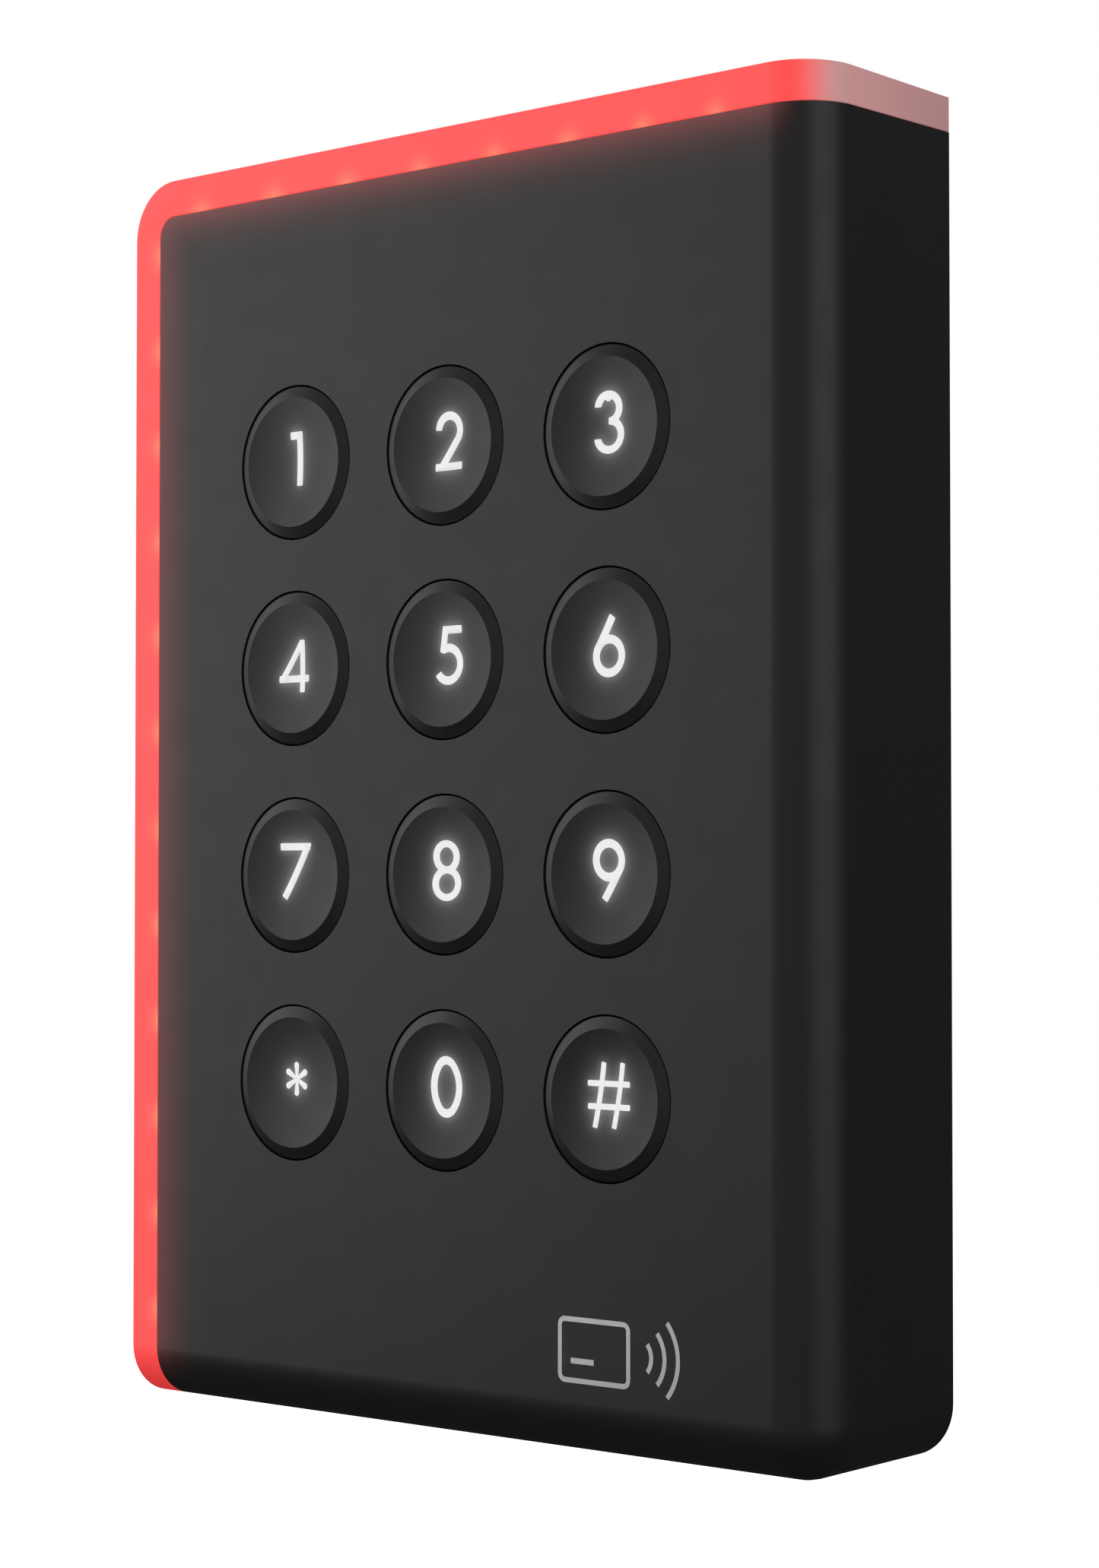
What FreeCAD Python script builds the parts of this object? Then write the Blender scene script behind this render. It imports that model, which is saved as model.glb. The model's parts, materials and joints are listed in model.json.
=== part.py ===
import FreeCAD, Part
import math
import os

from FreeCAD import Vector

# Wall-mounted keypad access reader, in millimetres.
# X runs to the right as the user sees it, Y into the wall, Z up.
# The origin is on the wall plane, half-way up the housing and behind the middle column of keys.

# Housing
LEFT = -42.5            # the housing's sides where they meet the face
RIGHT = 43.0
HEIGHT = 120.0
DEPTH = 20.0            # front face to wall
RIM_GAP = 0.4           # the housing's rear rim stands this far off the wall
EDGE_R = 5.0            # rounded right, bottom and corner edges
CORNER_R = 5.5          # top left corner, seen from the front
TAPER = 0.44            # all four sides come in by this much at the rear
WALL = 2.2
GUIDE_T = 3.5           # light guide, seen from the front
GUIDE_INNER_R = 2.0
SEAM = 0.05             # gap between the guide and the cover
GUIDE_WALL = 1.8        # cover wall behind the guide

# Keys
KEY_PITCH = 19.65
KEY_ROWS_Z = 1.2        # middle of the key field
KEY_HOLE_R = 7.41
KEY_R = 7.21
RIM_R = 6.16
RIM_RISE = 0.32         # rim in front of the face
BEVEL_START = 0.10      # the bevel begins this far behind the face
DISH_DEPTH = 0.5
FLANGE_R = 8.3
FLANGE_T = 1.0
FLANGE_GAP = 0.15
STEM_R = 3.0
LEGEND_X = 0.25
LEGEND_Z = 0.33
LEGEND_FIT = 0.01       # gap round the numeral in its window
LEGEND_PROUD = 0.01
LEGEND_DISC_R = 5.2
LEGEND_DISC_T = 0.8
SHELL_T = 1.0           # key shell in front of the legend's disc
PEN = 0.77              # stroke width of the numerals
SOFTEN = 0.12           # rounding of their corners

# Electronics, by their places along Y
BOARD_FRONT = -11.0
BOARD_T = 1.6
BOARD_REAR = BOARD_FRONT + BOARD_T
MAT_T = 1.0
MAT_HALF_X = 28.5
MAT_HALF_Z = 38.5
DOME_R = 5.5
DOME_TOP_R = 3.4
DOME_TOP = -13.92
DOME_SKIN = 0.8
STEM_GAP = 0.08
LAMP_Z = 7.6            # each key's lamp sits above its dome
COIL_HALF_X = 33.0
COIL_HALF_Z = 45.0
COIL_W = 2.5
COIL_T = 0.8
BUZZER_X = -24.0
BUZZER_Z = -24.0
SOCKET_Z = -14.5
SOCKET_HALF = 13.5
SOCKET_BACK = -3.0
PINS = 8
PIN_PITCH = 3.0
PIN_HALF = 0.35
PILL_R = 2.4
PILL_T = 1.15

# Edge lights: the top row closes up towards its free end
TOP_LIGHTS = 8
TOP_LIGHT_START = -33.0
TOP_LIGHT_STEP = 10.3
TOP_LIGHT_CLOSING = 0.33
SIDE_LIGHTS = 12
SIDE_LIGHT_START = -51.3
SIDE_LIGHT_STEP = 9.455
LIGHT_Y = -15.0
LIGHT_LENGTH = 2.8
LIGHT_W = 1.4
LIGHT_RISE = 1.2
WINDOW_GAP = 0.3
STRIP_T = 0.8
STRIP_W = 6.0

# Rear base, wall plate and fixings
BASE_T = 1.8
BASE_REAR = -2.2
BASE_WALL = 1.5
BASE_GAP = 0.25
PLATE_T = 1.5
PLATE_W = 75.0
PLATE_H = 110.0
PLATE_X = 1.6
PLATE_Z = -1.5
BOSS_X = (-32.5, 35.5)
BOSS_Z = (-52.0, 49.0)
BOSS_R = 3.0
CASE_SCREW_R = 1.1
CASE_SCREW_HEAD_R = 2.2
HOOK_X = (-22.0, 25.2)
HOOK_W = 8.0
HOOK_Z = 46.0
SLOT_R = 2.25
SLOT_L = 8.5
SLOT_SPAN_X = 60.3
SLOT_SPAN_Z = 83.5
CUP_R = 4.6
CUP_L = 12.0
CUP_SKIN = 0.7
CABLE_LOW = (-15.0, -36.0)
CABLE_HIGH = (15.0, -10.0)
SECURITY_R = 1.5
SECURITY_HEAD_R = 2.75
SECURITY_Y = -6.0
SECURITY_FLOOR = 2.25   # the recess for its head goes this deep into the bottom
SECURITY_HEAD_T = 1.7
CUP_FLOOR = -5.4
FLANGE_Z = -53.6
TAMPER_X = 30.0
TAMPER_Z = -22.0
PLUNGER_R = 1.5
SWITCH_BACK = -5.9
PEG_Y = -6.0
PEG_R = 0.8

# Card symbol on the face
MARK_X = 14.0
MARK_Z = -50.4
MARK_PEN = 0.45
MARK_DEPTH = 0.2
SEAM_FINE = 0.02

FACE = -DEPTH
REAR = -RIM_GAP
TOP = HEIGHT / 2
BOTTOM = -HEIGHT / 2
INNER_FACE = FACE + WALL
CAVITY_LEFT = LEFT + GUIDE_T + SEAM + GUIDE_WALL
CAVITY_RIGHT = RIGHT - WALL
CAVITY_TOP = TOP - GUIDE_T - SEAM - GUIDE_WALL
CAVITY_BOTTOM = BOTTOM + WALL
FLANGE_FRONT = INNER_FACE + FLANGE_GAP
FLANGE_BACK = FLANGE_FRONT + FLANGE_T
RIM_FRONT = FACE - RIM_RISE
DISH_R = (RIM_R ** 2 + DISH_DEPTH ** 2) / (2 * DISH_DEPTH)
DISH_MIDDLE = RIM_FRONT + DISH_DEPTH - DISH_R + math.sqrt(DISH_R ** 2 - (RIM_R / 2) ** 2)
BACK_WALL_FRONT = BASE_REAR - BASE_T
Y_AXIS = Vector(0, 1, 0)


# Small helpers

def box(x0, x1, y0, y1, z0, z1):
    return Part.makeBox(x1 - x0, y1 - y0, z1 - z0, Vector(x0, y0, z0))


def rod(x, z, radius, y0, y1):
    """A cylinder along Y."""
    return Part.makeCylinder(radius, y1 - y0, Vector(x, y0, z), Y_AXIS)


def soft_box(x0, x1, y0, y1, z0, z1, radius):
    """A box with rounded edges along Y."""
    body = box(x0, x1, y0, y1, z0, z1)
    return body.makeFillet(radius, edges_along(body, Y_AXIS))


def edges_along(body, axis):
    return [e for e in body.Edges if abs(abs(e.tangentAt(e.FirstParameter).dot(axis)) - 1) < 1e-6]


def edge_at(body, **place):
    """The edges whose ends both have the given coordinates."""
    def fits(vertex):
        return all(abs(getattr(vertex.Point, k) - v) < 1e-6 for k, v in place.items())
    return [e for e in body.Edges if all(fits(v) for v in e.Vertexes)]


def joined(solids):
    return solids[0].multiFuse(solids[1:]).removeSplitter() if len(solids) > 1 else solids[0]


def save(name, solids):
    shape = solids[0] if len(solids) == 1 else Part.makeCompound(solids)
    shape.exportStep(f"parts/{name}.step")


# Numerals, drawn in a plane as the user sees them and centred on the legend

def polygon(points):
    corners = [Vector(x, z, 0) for x, z in points]
    return Part.Face(Part.makePolygon(corners + corners[:1]))


def block(x0, x1, z0, z1):
    return polygon([(x0, z0), (x1, z0), (x1, z1), (x0, z1)])


def bar(start, end, width):
    """A straight stroke with square ends."""
    run = Vector(end[0] - start[0], end[1] - start[1], 0)
    side = Vector(run.y, -run.x, 0).normalize() * (width / 2)
    a = Vector(start[0], start[1], 0)
    b = Vector(end[0], end[1], 0)
    corners = [a + side, b + side, b - side, a - side]
    return polygon([(c.x, c.y) for c in corners])


def oval(x, z, half_w, half_h):
    """An oval of four arcs that meet without a corner, or a circle."""
    if abs(half_w - half_h) < 1e-6:
        return Part.Face(Part.Wire([Part.makeCircle(half_w, Vector(x, z, 0))]))
    long_half = max(half_w, half_h)
    short_half = min(half_w, half_h)
    end_r = 1.05 * short_half ** 2 / long_half
    end_x = long_half - end_r
    side_r = (end_x ** 2 + short_half ** 2 - end_r ** 2) / (2 * (short_half - end_r))
    side_z = side_r - short_half
    reach = side_r / math.hypot(end_x, side_z)
    px = end_x * reach
    pz = side_z * reach - side_z
    stops = [
        (px, -pz), (long_half, 0), (px, pz), (0, short_half),
        (-px, pz), (-long_half, 0), (-px, -pz), (0, -short_half), (px, -pz),
    ]
    points = [Vector(a, b, 0) for a, b in stops]
    arcs = [Part.Arc(*points[i:i + 3]).toShape() for i in range(0, 8, 2)]
    face = Part.Face(Part.Wire(arcs))
    if half_h > half_w:
        face.rotate(Vector(0, 0, 0), Vector(0, 0, 1), 90)
    face.translate(Vector(x, z, 0))
    return face


def ring(x, z, half_w, half_h, side, flat):
    """An oval band: side is its thickness left and right, flat its thickness at top and bottom."""
    return oval(x, z, half_w, half_h).cut(oval(x, z, half_w - side, half_h - flat))


def arc(x, z, radius, start, end, width):
    """A circular stroke from one angle to the other, anticlockwise in degrees."""
    def at(r, angle):
        return Vector(x + r * math.cos(math.radians(angle)), z + r * math.sin(math.radians(angle)), 0)
    inner = radius - width / 2
    outer = radius + width / 2
    middle = (start + end) / 2
    edges = [
        Part.Arc(at(outer, start), at(outer, middle), at(outer, end)).toShape(),
        Part.LineSegment(at(outer, end), at(inner, end)).toShape(),
        Part.Arc(at(inner, end), at(inner, middle), at(inner, start)).toShape(),
        Part.LineSegment(at(inner, start), at(outer, start)).toShape(),
    ]
    return Part.Face(Part.Wire(edges))


def half_turn(face):
    turned = face.copy()
    turned.rotate(Vector(0, 0, 0), Vector(0, 0, 1), 180)
    return turned


def one():
    return [bar((0.30, -2.6), (0.30, 2.6), PEN), block(-0.95, 0.5, 1.87, 2.6)]


def two():
    leg = bar((1.371, 0.147), (-1.5, -3.4), PEN).common(block(-1.41, 2.0, -2.68, 0.5))
    return [arc(0.33, 0.99, 1.34, -39, 177, PEN), leg, block(-1.41, 1.95, -2.68, -1.98)]


def bowls(upper, upper_hole, lower, lower_hole):
    """Two ovals, one over the other, each with its hole."""
    holes = Part.makeCompound([oval(*upper_hole), oval(*lower_hole)])
    return [oval(*upper).cut(holes), oval(*lower).cut(holes)]


def three():
    closed = bowls((-0.02, 1.27, 1.62, 1.53), (-0.02, 1.27, 0.85, 0.83),
                   (0.03, -1.13, 1.76, 1.63), (0.03, -1.13, 0.99, 0.93))
    return [bowl.cut(block(-2, -0.05, -1.38, 1.42)) for bowl in closed]


def four():
    slope = bar((-3.0, -2.64), (1.4, 3.13), 0.66).common(block(-2.43, 1.02, -1.66, 2.36))
    return [slope, bar((0.69, -2.64), (0.69, 2.36), 0.66), block(-2.43, 1.58, -1.66, -0.99)]


def five():
    stem = polygon([(-0.87, 0.40), (-0.55, 0.22), (-0.08, 0.60), (0.29, 2.72), (-0.43, 2.72)])
    return [stem, block(-0.43, 1.98, 2.01, 2.72), arc(0.185, -0.78, 1.5, -147, 122, PEN)]


def six():
    leg = bar((-1.242, -0.108), (0.499, 2.62), PEN)
    return [ring(0.005, -0.88, 1.87, 1.87, PEN, PEN), leg]


def seven():
    leg = bar((-1.635, -2.525), (2.0, 3.13), PEN).common(block(-2.2, 2.03, -3, 2.70))
    return [leg, block(-2.15, 1.9, 2.01, 2.70)]


def eight(growth):
    upper = (0, 1.29, 1.675 + growth, 1.52 + growth)
    upper_hole = (0, 1.29, 0.87 - growth, 0.87 - growth)
    lower = (0.02, -1.165, 1.825 + growth, 1.585 + growth)
    lower_hole = (0.02, -1.165, 1.025 - growth, 0.935 - growth)
    return bowls(upper, upper_hole, lower, lower_hole)


def nine():
    return [half_turn(face) for face in six()]


def zero(growth):
    thick = 2 * growth
    return [ring(0.02, 0, 1.98 + growth, 2.8 + growth, 0.79 + thick, PEN + thick)]


def star():
    petals = []
    for turn in range(6):
        angle = math.radians(90 + 60 * turn)
        along = Vector(math.cos(angle), math.sin(angle), 0)
        across = Vector(-along.y, along.x, 0)
        root, tip = 0.14, 0.31
        corners = [across * root, along * 1.3 + across * tip, along * 1.3 - across * tip, across * -root]
        petals.append(polygon([(c.x, c.y) for c in reversed(corners)]))
        petals.append(oval(along.x * 1.3, along.y * 1.3, tip, tip))
    return petals


def hash_sign():
    slant = 0.19 * 2.89
    uprights = [bar((x - slant, -2.89), (x + slant, 2.89), 0.55) for x in (-1.06, 1.14)]
    return uprights + [block(-2.45, 2.45, z - 0.26, z + 0.26) for z in (-1.01, 1.01)]


KEYS = [
    ("1", one), ("2", two), ("3", three),
    ("4", four), ("5", five), ("6", six),
    ("7", seven), ("8", eight), ("9", nine),
    ("star", star), ("0", zero), ("hash", hash_sign),
]
OVAL_SIGNS = (eight, zero)
SIGN_REACH = 10.0


def sign(draw, growth):
    """A numeral as one standing solid that runs through the front of a key."""
    strokes = draw(growth) if draw in OVAL_SIGNS else draw()
    thick = joined([face.extrude(Vector(0, 0, 1)) for stroke in strokes for face in stroke.Faces])
    flat = [f for f in thick.Faces if f.BoundBox.ZMax < 1e-6]
    if draw not in OVAL_SIGNS:
        eased = [f for face in flat for f in face.makeOffset2D(-SOFTEN).Faces]
        flat = [f.makeOffset2D(SOFTEN + growth) for f in eased]
    solid = joined([f.extrude(Vector(0, 0, SIGN_REACH)) for f in flat])
    solid.rotate(Vector(0, 0, 0), Vector(1, 0, 0), 90)
    solid.translate(Vector(LEGEND_X, FACE + SIGN_REACH / 2, LEGEND_Z))
    return solid


# Housing

def outer_body():
    """The whole outside shape, cover and light guide together."""
    body = Part.makeWedge(LEFT, FACE, BOTTOM, BOTTOM + TAPER, LEFT + TAPER,
                          RIGHT, REAR, TOP, TOP - TAPER, RIGHT - TAPER)
    body = body.makeFillet(CORNER_R, edges_back_from(body, LEFT, TOP))
    return body.makeFillet(EDGE_R, edge_at(body, x=RIGHT, y=FACE)
                           + edge_at(body, y=FACE, z=BOTTOM)
                           + edges_back_from(body, RIGHT, BOTTOM))


def edges_back_from(body, x, z):
    """The edge that runs from a corner of the face to the rear."""
    corner = Vector(x, FACE, z)
    return [e for e in body.Edges if any((v.Point - corner).Length < 1e-6 for v in e.Vertexes)
            and any(abs(v.Y - REAR) < 1e-6 for v in e.Vertexes)]


def cover_zone(margin):
    """Everything inside the L-shaped guide."""
    x = LEFT + margin
    z = TOP - margin
    zone = box(x, RIGHT + 5, FACE - 5, REAR + 5, BOTTOM - 5, z)
    return zone.makeFillet(GUIDE_INNER_R, edge_at(zone, x=x, z=z))


def cavity():
    inner_r = EDGE_R - WALL
    hollow = box(CAVITY_LEFT, CAVITY_RIGHT, INNER_FACE, REAR + 5, CAVITY_BOTTOM, CAVITY_TOP)
    return hollow.makeFillet(inner_r, edge_at(hollow, x=CAVITY_RIGHT, y=INNER_FACE)
                             + edge_at(hollow, y=INNER_FACE, z=CAVITY_BOTTOM)
                             + edge_at(hollow, x=CAVITY_RIGHT, z=CAVITY_BOTTOM))


def key_places():
    for index, (name, draw) in enumerate(KEYS):
        column = index % 3
        row = index // 3
        yield name, draw, (column - 1) * KEY_PITCH, KEY_ROWS_Z + (1.5 - row) * KEY_PITCH


def boss_places():
    return [(x, z) for x in BOSS_X for z in BOSS_Z]


def top_light_places():
    return [TOP_LIGHT_START + i * TOP_LIGHT_STEP - i * (i - 1) / 2 * TOP_LIGHT_CLOSING
            for i in range(TOP_LIGHTS)]


def side_light_places():
    return [SIDE_LIGHT_START + i * SIDE_LIGHT_STEP for i in range(SIDE_LIGHTS)]


def peg_places():
    """Pegs that hold the guide, between the lights and nearer the wall."""
    top = [(x, CAVITY_TOP, 0, 1) for x in (-28.0, 1.5, 27.5)]
    side = [(CAVITY_LEFT, z, -1, 0) for z in (-46.6, 0.6, 47.9)]
    return top + side


def peg(x, z, out_x, out_z, radius, length):
    start = Vector(x + out_x * (GUIDE_WALL + 1), PEG_Y, z + out_z * (GUIDE_WALL + 1))
    return Part.makeCylinder(radius, length, start, Vector(-out_x, 0, -out_z))


def front_cover():
    body = outer_body().common(cover_zone(GUIDE_T + SEAM)).cut(cavity())
    posts = [rod(x, z, BOSS_R, INNER_FACE - 0.5, BOARD_FRONT - SEAM) for x, z in boss_places()]
    pad = box(-5, 5, BOARD_REAR + 0.4, BASE_REAR - 0.2, CAVITY_BOTTOM - 0.5, CAVITY_BOTTOM + 2)
    body = joined([body, pad] + posts)
    cuts = [rod(x, z, KEY_HOLE_R, FACE - 1, INNER_FACE + 1) for _, _, x, z in key_places()]
    cuts += [rod(x, z, CASE_SCREW_R + 0.05, -16.5, BOARD_FRONT) for x, z in boss_places()]
    half_l = LIGHT_LENGTH / 2 + WINDOW_GAP
    half_w = LIGHT_W / 2 + WINDOW_GAP
    front = LIGHT_Y - half_w
    back = LIGHT_Y + half_w
    cuts += [box(x - half_l, x + half_l, front, back, CAVITY_TOP - 1, TOP) for x in top_light_places()]
    cuts += [box(LEFT, CAVITY_LEFT + 1, front, back, z - half_l, z + half_l) for z in side_light_places()]
    cuts += [peg(*place, PEG_R + 0.1, GUIDE_WALL + 3) for place in peg_places()]
    below = Vector(0, SECURITY_Y, BOTTOM - 1)
    cuts.append(Part.makeCylinder(SECURITY_R + 0.2, 6, below))
    cuts.append(Part.makeCylinder(SECURITY_HEAD_R + 0.25, SECURITY_FLOOR + 1, below))
    cuts.append(card_mark(SEAM_FINE))
    return body.cut(Part.makeCompound(cuts))


def light_guide():
    guide = outer_body().cut(cover_zone(GUIDE_T))
    pegs = [peg(*place, PEG_R, GUIDE_WALL) for place in peg_places()]
    for p, (_, _, out_x, out_z) in zip(pegs, peg_places()):
        p.translate(Vector(out_x * 0.3, 0, out_z * 0.3))
    return joined([guide] + pegs)


def card_mark(growth):
    """A card and three waves, set into the lower right of the face."""
    x, z = MARK_X, MARK_Z
    card = block(x, x + 8.4, z - 2.9, z + 2.9).makeOffset2D(-0.8).makeOffset2D(0.8 + growth)
    hole = block(x, x + 8.4, z - 2.9, z + 2.9).makeOffset2D(-0.8).makeOffset2D(0.8 - MARK_PEN - growth)
    stripe = block(x + 1.5, x + 4.2, z - 1.2 - growth, z - 0.7 + growth)
    waves = [arc(x + 9.0, z, r, -42, 42, MARK_PEN + 2 * growth) for r in (1.8, 3.3, 4.8)]
    solids = [f.extrude(Vector(0, 0, MARK_DEPTH + growth)) for f in [card.cut(hole), stripe] + waves]
    mark = Part.makeCompound([s for solid in solids for s in solid.Solids])
    mark.rotate(Vector(0, 0, 0), Vector(1, 0, 0), 90)
    mark.translate(Vector(0, FACE + MARK_DEPTH + growth, 0))
    return mark


# Keys

def key_profile():
    """Half of the key's section, turned about its own axis."""
    outer = Vector(KEY_R, FACE + BEVEL_START, 0)
    rim = Vector(RIM_R, RIM_FRONT, 0)
    centre = Vector(0, RIM_FRONT + DISH_DEPTH, 0)
    dip = Vector(RIM_R / 2, DISH_MIDDLE, 0)
    stem_end = DOME_TOP - STEM_GAP
    points = [
        rim, outer, Vector(KEY_R, FLANGE_FRONT, 0), Vector(FLANGE_R, FLANGE_FRONT, 0),
        Vector(FLANGE_R, FLANGE_BACK, 0), Vector(STEM_R, FLANGE_BACK, 0),
        Vector(STEM_R, stem_end, 0), Vector(0, stem_end, 0), centre,
    ]
    edges = [Part.LineSegment(a, b).toShape() for a, b in zip(points, points[1:])]
    edges.append(Part.Arc(centre, dip, rim).toShape())
    return Part.Face(Part.Wire(edges))


def dish_ball(proud):
    """The ball whose near side is the dish, drawn in by the given amount."""
    return Part.makeSphere(DISH_R - proud, Vector(0, RIM_FRONT + DISH_DEPTH - DISH_R, 0))


def legend_core(radius, thickness, front):
    return rod(0, 0, radius, front, front + thickness)


def key_cap(draw):
    body = key_profile().revolve(Vector(0, 0, 0), Y_AXIS, 360)
    disc_front = RIM_FRONT + DISH_DEPTH + SHELL_T
    pocket = legend_core(LEGEND_DISC_R + LEGEND_FIT, LEGEND_DISC_T + 2 * LEGEND_FIT, disc_front - LEGEND_FIT)
    window = sign(draw, LEGEND_FIT).common(rod(0, 0, RIM_R, RIM_FRONT - 1, disc_front))
    return body.cut(Part.makeCompound([pocket] + window.Solids))


def key_legend(draw):
    disc_front = RIM_FRONT + DISH_DEPTH + SHELL_T
    disc = legend_core(LEGEND_DISC_R, LEGEND_DISC_T, disc_front)
    raised = sign(draw, 0).common(rod(0, 0, RIM_R, RIM_FRONT - 1, disc_front + 0.1))
    return joined([disc] + raised.cut(dish_ball(LEGEND_PROUD)).Solids)


def moved(shape, x, z):
    placed = shape.copy()
    placed.translate(Vector(x, 0, z))
    return placed


def dome(x, z, growth, base, top):
    """One dome of the mat, or with less growth its hollow."""
    return Part.makeCone(DOME_R + growth, DOME_TOP_R + growth, base - top, Vector(x, base, z), -Y_AXIS)


def keypad_mat():
    sheet = soft_box(-MAT_HALF_X, MAT_HALF_X, BOARD_FRONT - MAT_T, BOARD_FRONT,
                     KEY_ROWS_Z - MAT_HALF_Z, KEY_ROWS_Z + MAT_HALF_Z, 2.0)
    base = BOARD_FRONT - MAT_T + 0.1
    mat = joined([sheet] + [dome(x, z, 0, base, DOME_TOP) for _, _, x, z in key_places()])
    hollow = DOME_TOP + DOME_SKIN
    cuts = [dome(x, z, -DOME_SKIN, BOARD_FRONT + 0.1, hollow) for _, _, x, z in key_places()]
    cuts += [lamp_window(x, z) for _, _, x, z in key_places()]
    return mat.cut(Part.makeCompound(cuts))


def lamp_window(x, z):
    return box(x - 1.3, x + 1.3, BOARD_FRONT - 3, BOARD_FRONT + 1, z + LAMP_Z - 0.9, z + LAMP_Z + 0.9)


def contact_pills():
    back = DOME_TOP + DOME_SKIN + PILL_T
    return [rod(x, z, PILL_R, back - PILL_T, back) for _, _, x, z in key_places()]


def key_backlights():
    return [box(x - 0.8, x + 0.8, BOARD_FRONT - 0.6, BOARD_FRONT, z + LAMP_Z - 0.4, z + LAMP_Z + 0.4)
            for _, _, x, z in key_places()]


# Electronics

def main_board():
    board = soft_box(CAVITY_LEFT + 1.1, CAVITY_RIGHT - 1.1, BOARD_FRONT, BOARD_REAR,
                     CAVITY_BOTTOM + 1.1, CAVITY_TOP - 1.1, 2.0)
    return board.cut(Part.makeCompound([rod(x, z, CASE_SCREW_R + 0.4, -15, -5) for x, z in boss_places()]))


def top_light_strip():
    front = LIGHT_Y - STRIP_W / 2 + 0.8
    return box(CAVITY_LEFT + 1.5, CAVITY_RIGHT - 4, front, front + STRIP_W,
               CAVITY_TOP - STRIP_T, CAVITY_TOP)


def left_light_strip():
    front = LIGHT_Y - STRIP_W / 2 + 0.8
    return box(CAVITY_LEFT, CAVITY_LEFT + STRIP_T, front, front + STRIP_W,
               CAVITY_BOTTOM + 4, CAVITY_TOP - 0.9)


def top_edge_lights():
    half = LIGHT_LENGTH / 2
    return [box(x - half, x + half, LIGHT_Y - LIGHT_W / 2, LIGHT_Y + LIGHT_W / 2,
                CAVITY_TOP, CAVITY_TOP + LIGHT_RISE) for x in top_light_places()]


def left_edge_lights():
    half = LIGHT_LENGTH / 2
    return [box(CAVITY_LEFT - LIGHT_RISE, CAVITY_LEFT, LIGHT_Y - LIGHT_W / 2, LIGHT_Y + LIGHT_W / 2,
                z - half, z + half) for z in side_light_places()]


def antenna_coil():
    """A flat winding round the mat, which reads cards through the face."""
    front = BOARD_FRONT - COIL_T
    outer = soft_box(-COIL_HALF_X, COIL_HALF_X, front, BOARD_FRONT, -COIL_HALF_Z, COIL_HALF_Z, 4.0)
    inner = soft_box(-COIL_HALF_X + COIL_W, COIL_HALF_X - COIL_W, front - 1, BOARD_FRONT + 1,
                     -COIL_HALF_Z + COIL_W, COIL_HALF_Z - COIL_W, 2.0)
    return outer.cut(inner)


def on_board_rear(x, z, half_x, half_z, rise):
    return box(x - half_x, x + half_x, BOARD_REAR, BOARD_REAR + rise, z - half_z, z + half_z)


def board_components():
    parts = [on_board_rear(x, 38, 1.6, 0.8, 0.9) for x in (-8, -3, 2, 7)]
    parts += [on_board_rear(x, 12, 0.8, 1.6, 0.9) for x in (-20, -16, 16, 20)]
    parts += [on_board_rear(x, -40, 1.0, 1.5, 1.1) for x in (-24, -18, 18)]
    parts += [rod(x, -46, 2.5, BOARD_REAR, BOARD_REAR + 4.2) for x in (-14, 12)]
    return parts


def buzzer():
    body = rod(BUZZER_X, BUZZER_Z, 6.0, BOARD_REAR, BOARD_REAR + 3.5)
    return body.cut(rod(BUZZER_X, BUZZER_Z, 1.0, BOARD_REAR + 2.0, BOARD_REAR + 4))


def wiring_socket():
    """A shrouded plug-in socket that faces the cable opening."""
    shell = box(-SOCKET_HALF, SOCKET_HALF, BOARD_REAR, SOCKET_BACK, SOCKET_Z - 3.5, SOCKET_Z + 3.5)
    pocket = box(-SOCKET_HALF + 0.8, SOCKET_HALF - 0.8, BOARD_REAR + 1.2, SOCKET_BACK + 1,
                 SOCKET_Z - 2.7, SOCKET_Z + 2.7)
    holes = [box(x - PIN_HALF, x + PIN_HALF, BOARD_REAR - 1, BOARD_REAR + 2,
                 SOCKET_Z - PIN_HALF, SOCKET_Z + PIN_HALF) for x in pin_places()]
    return shell.cut(Part.makeCompound([pocket] + holes))


def pin_places():
    return [PIN_PITCH * (i - (PINS - 1) / 2) for i in range(PINS)]


def socket_pins():
    half = PIN_HALF - 0.05
    return [box(x - half, x + half, BOARD_REAR, SOCKET_BACK - 0.6, SOCKET_Z - half, SOCKET_Z + half)
            for x in pin_places()]


def tamper_switch():
    body = box(TAMPER_X - 3, TAMPER_X + 3, BOARD_REAR, SWITCH_BACK, TAMPER_Z - 3, TAMPER_Z + 3)
    return body.cut(rod(TAMPER_X, TAMPER_Z, PLUNGER_R + 0.08, BOARD_REAR + 0.6, SWITCH_BACK + 1))


def tamper_plunger():
    """It rests pressed in by the wall and comes out when the reader is lifted off."""
    shaft = rod(TAMPER_X, TAMPER_Z, PLUNGER_R, BOARD_REAR + 0.8, -0.5)
    tip = Part.makeCone(PLUNGER_R, PLUNGER_R - 0.5, 0.5, Vector(TAMPER_X, -0.5, TAMPER_Z), Y_AXIS)
    return joined([shaft, tip])


# Rear base, wall plate and fixings

def screw_slot(x, z, along_x, half_width, length, y0, y1):
    reach = length / 2 - half_width
    dx, dz = (reach, 0) if along_x else (0, reach)
    ends = [rod(x - dx, z - dz, half_width, y0, y1), rod(x + dx, z + dz, half_width, y0, y1)]
    if along_x:
        return joined(ends + [box(x - dx, x + dx, y0, y1, z - half_width, z + half_width)])
    return joined(ends + [box(x - half_width, x + half_width, y0, y1, z - dz, z + dz)])


def wall_slots():
    half_x = SLOT_SPAN_X / 2
    half_z = SLOT_SPAN_Z / 2
    return [(-half_x, 0, True), (half_x, 0, True), (0, -half_z, False), (0, half_z, False)]


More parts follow.
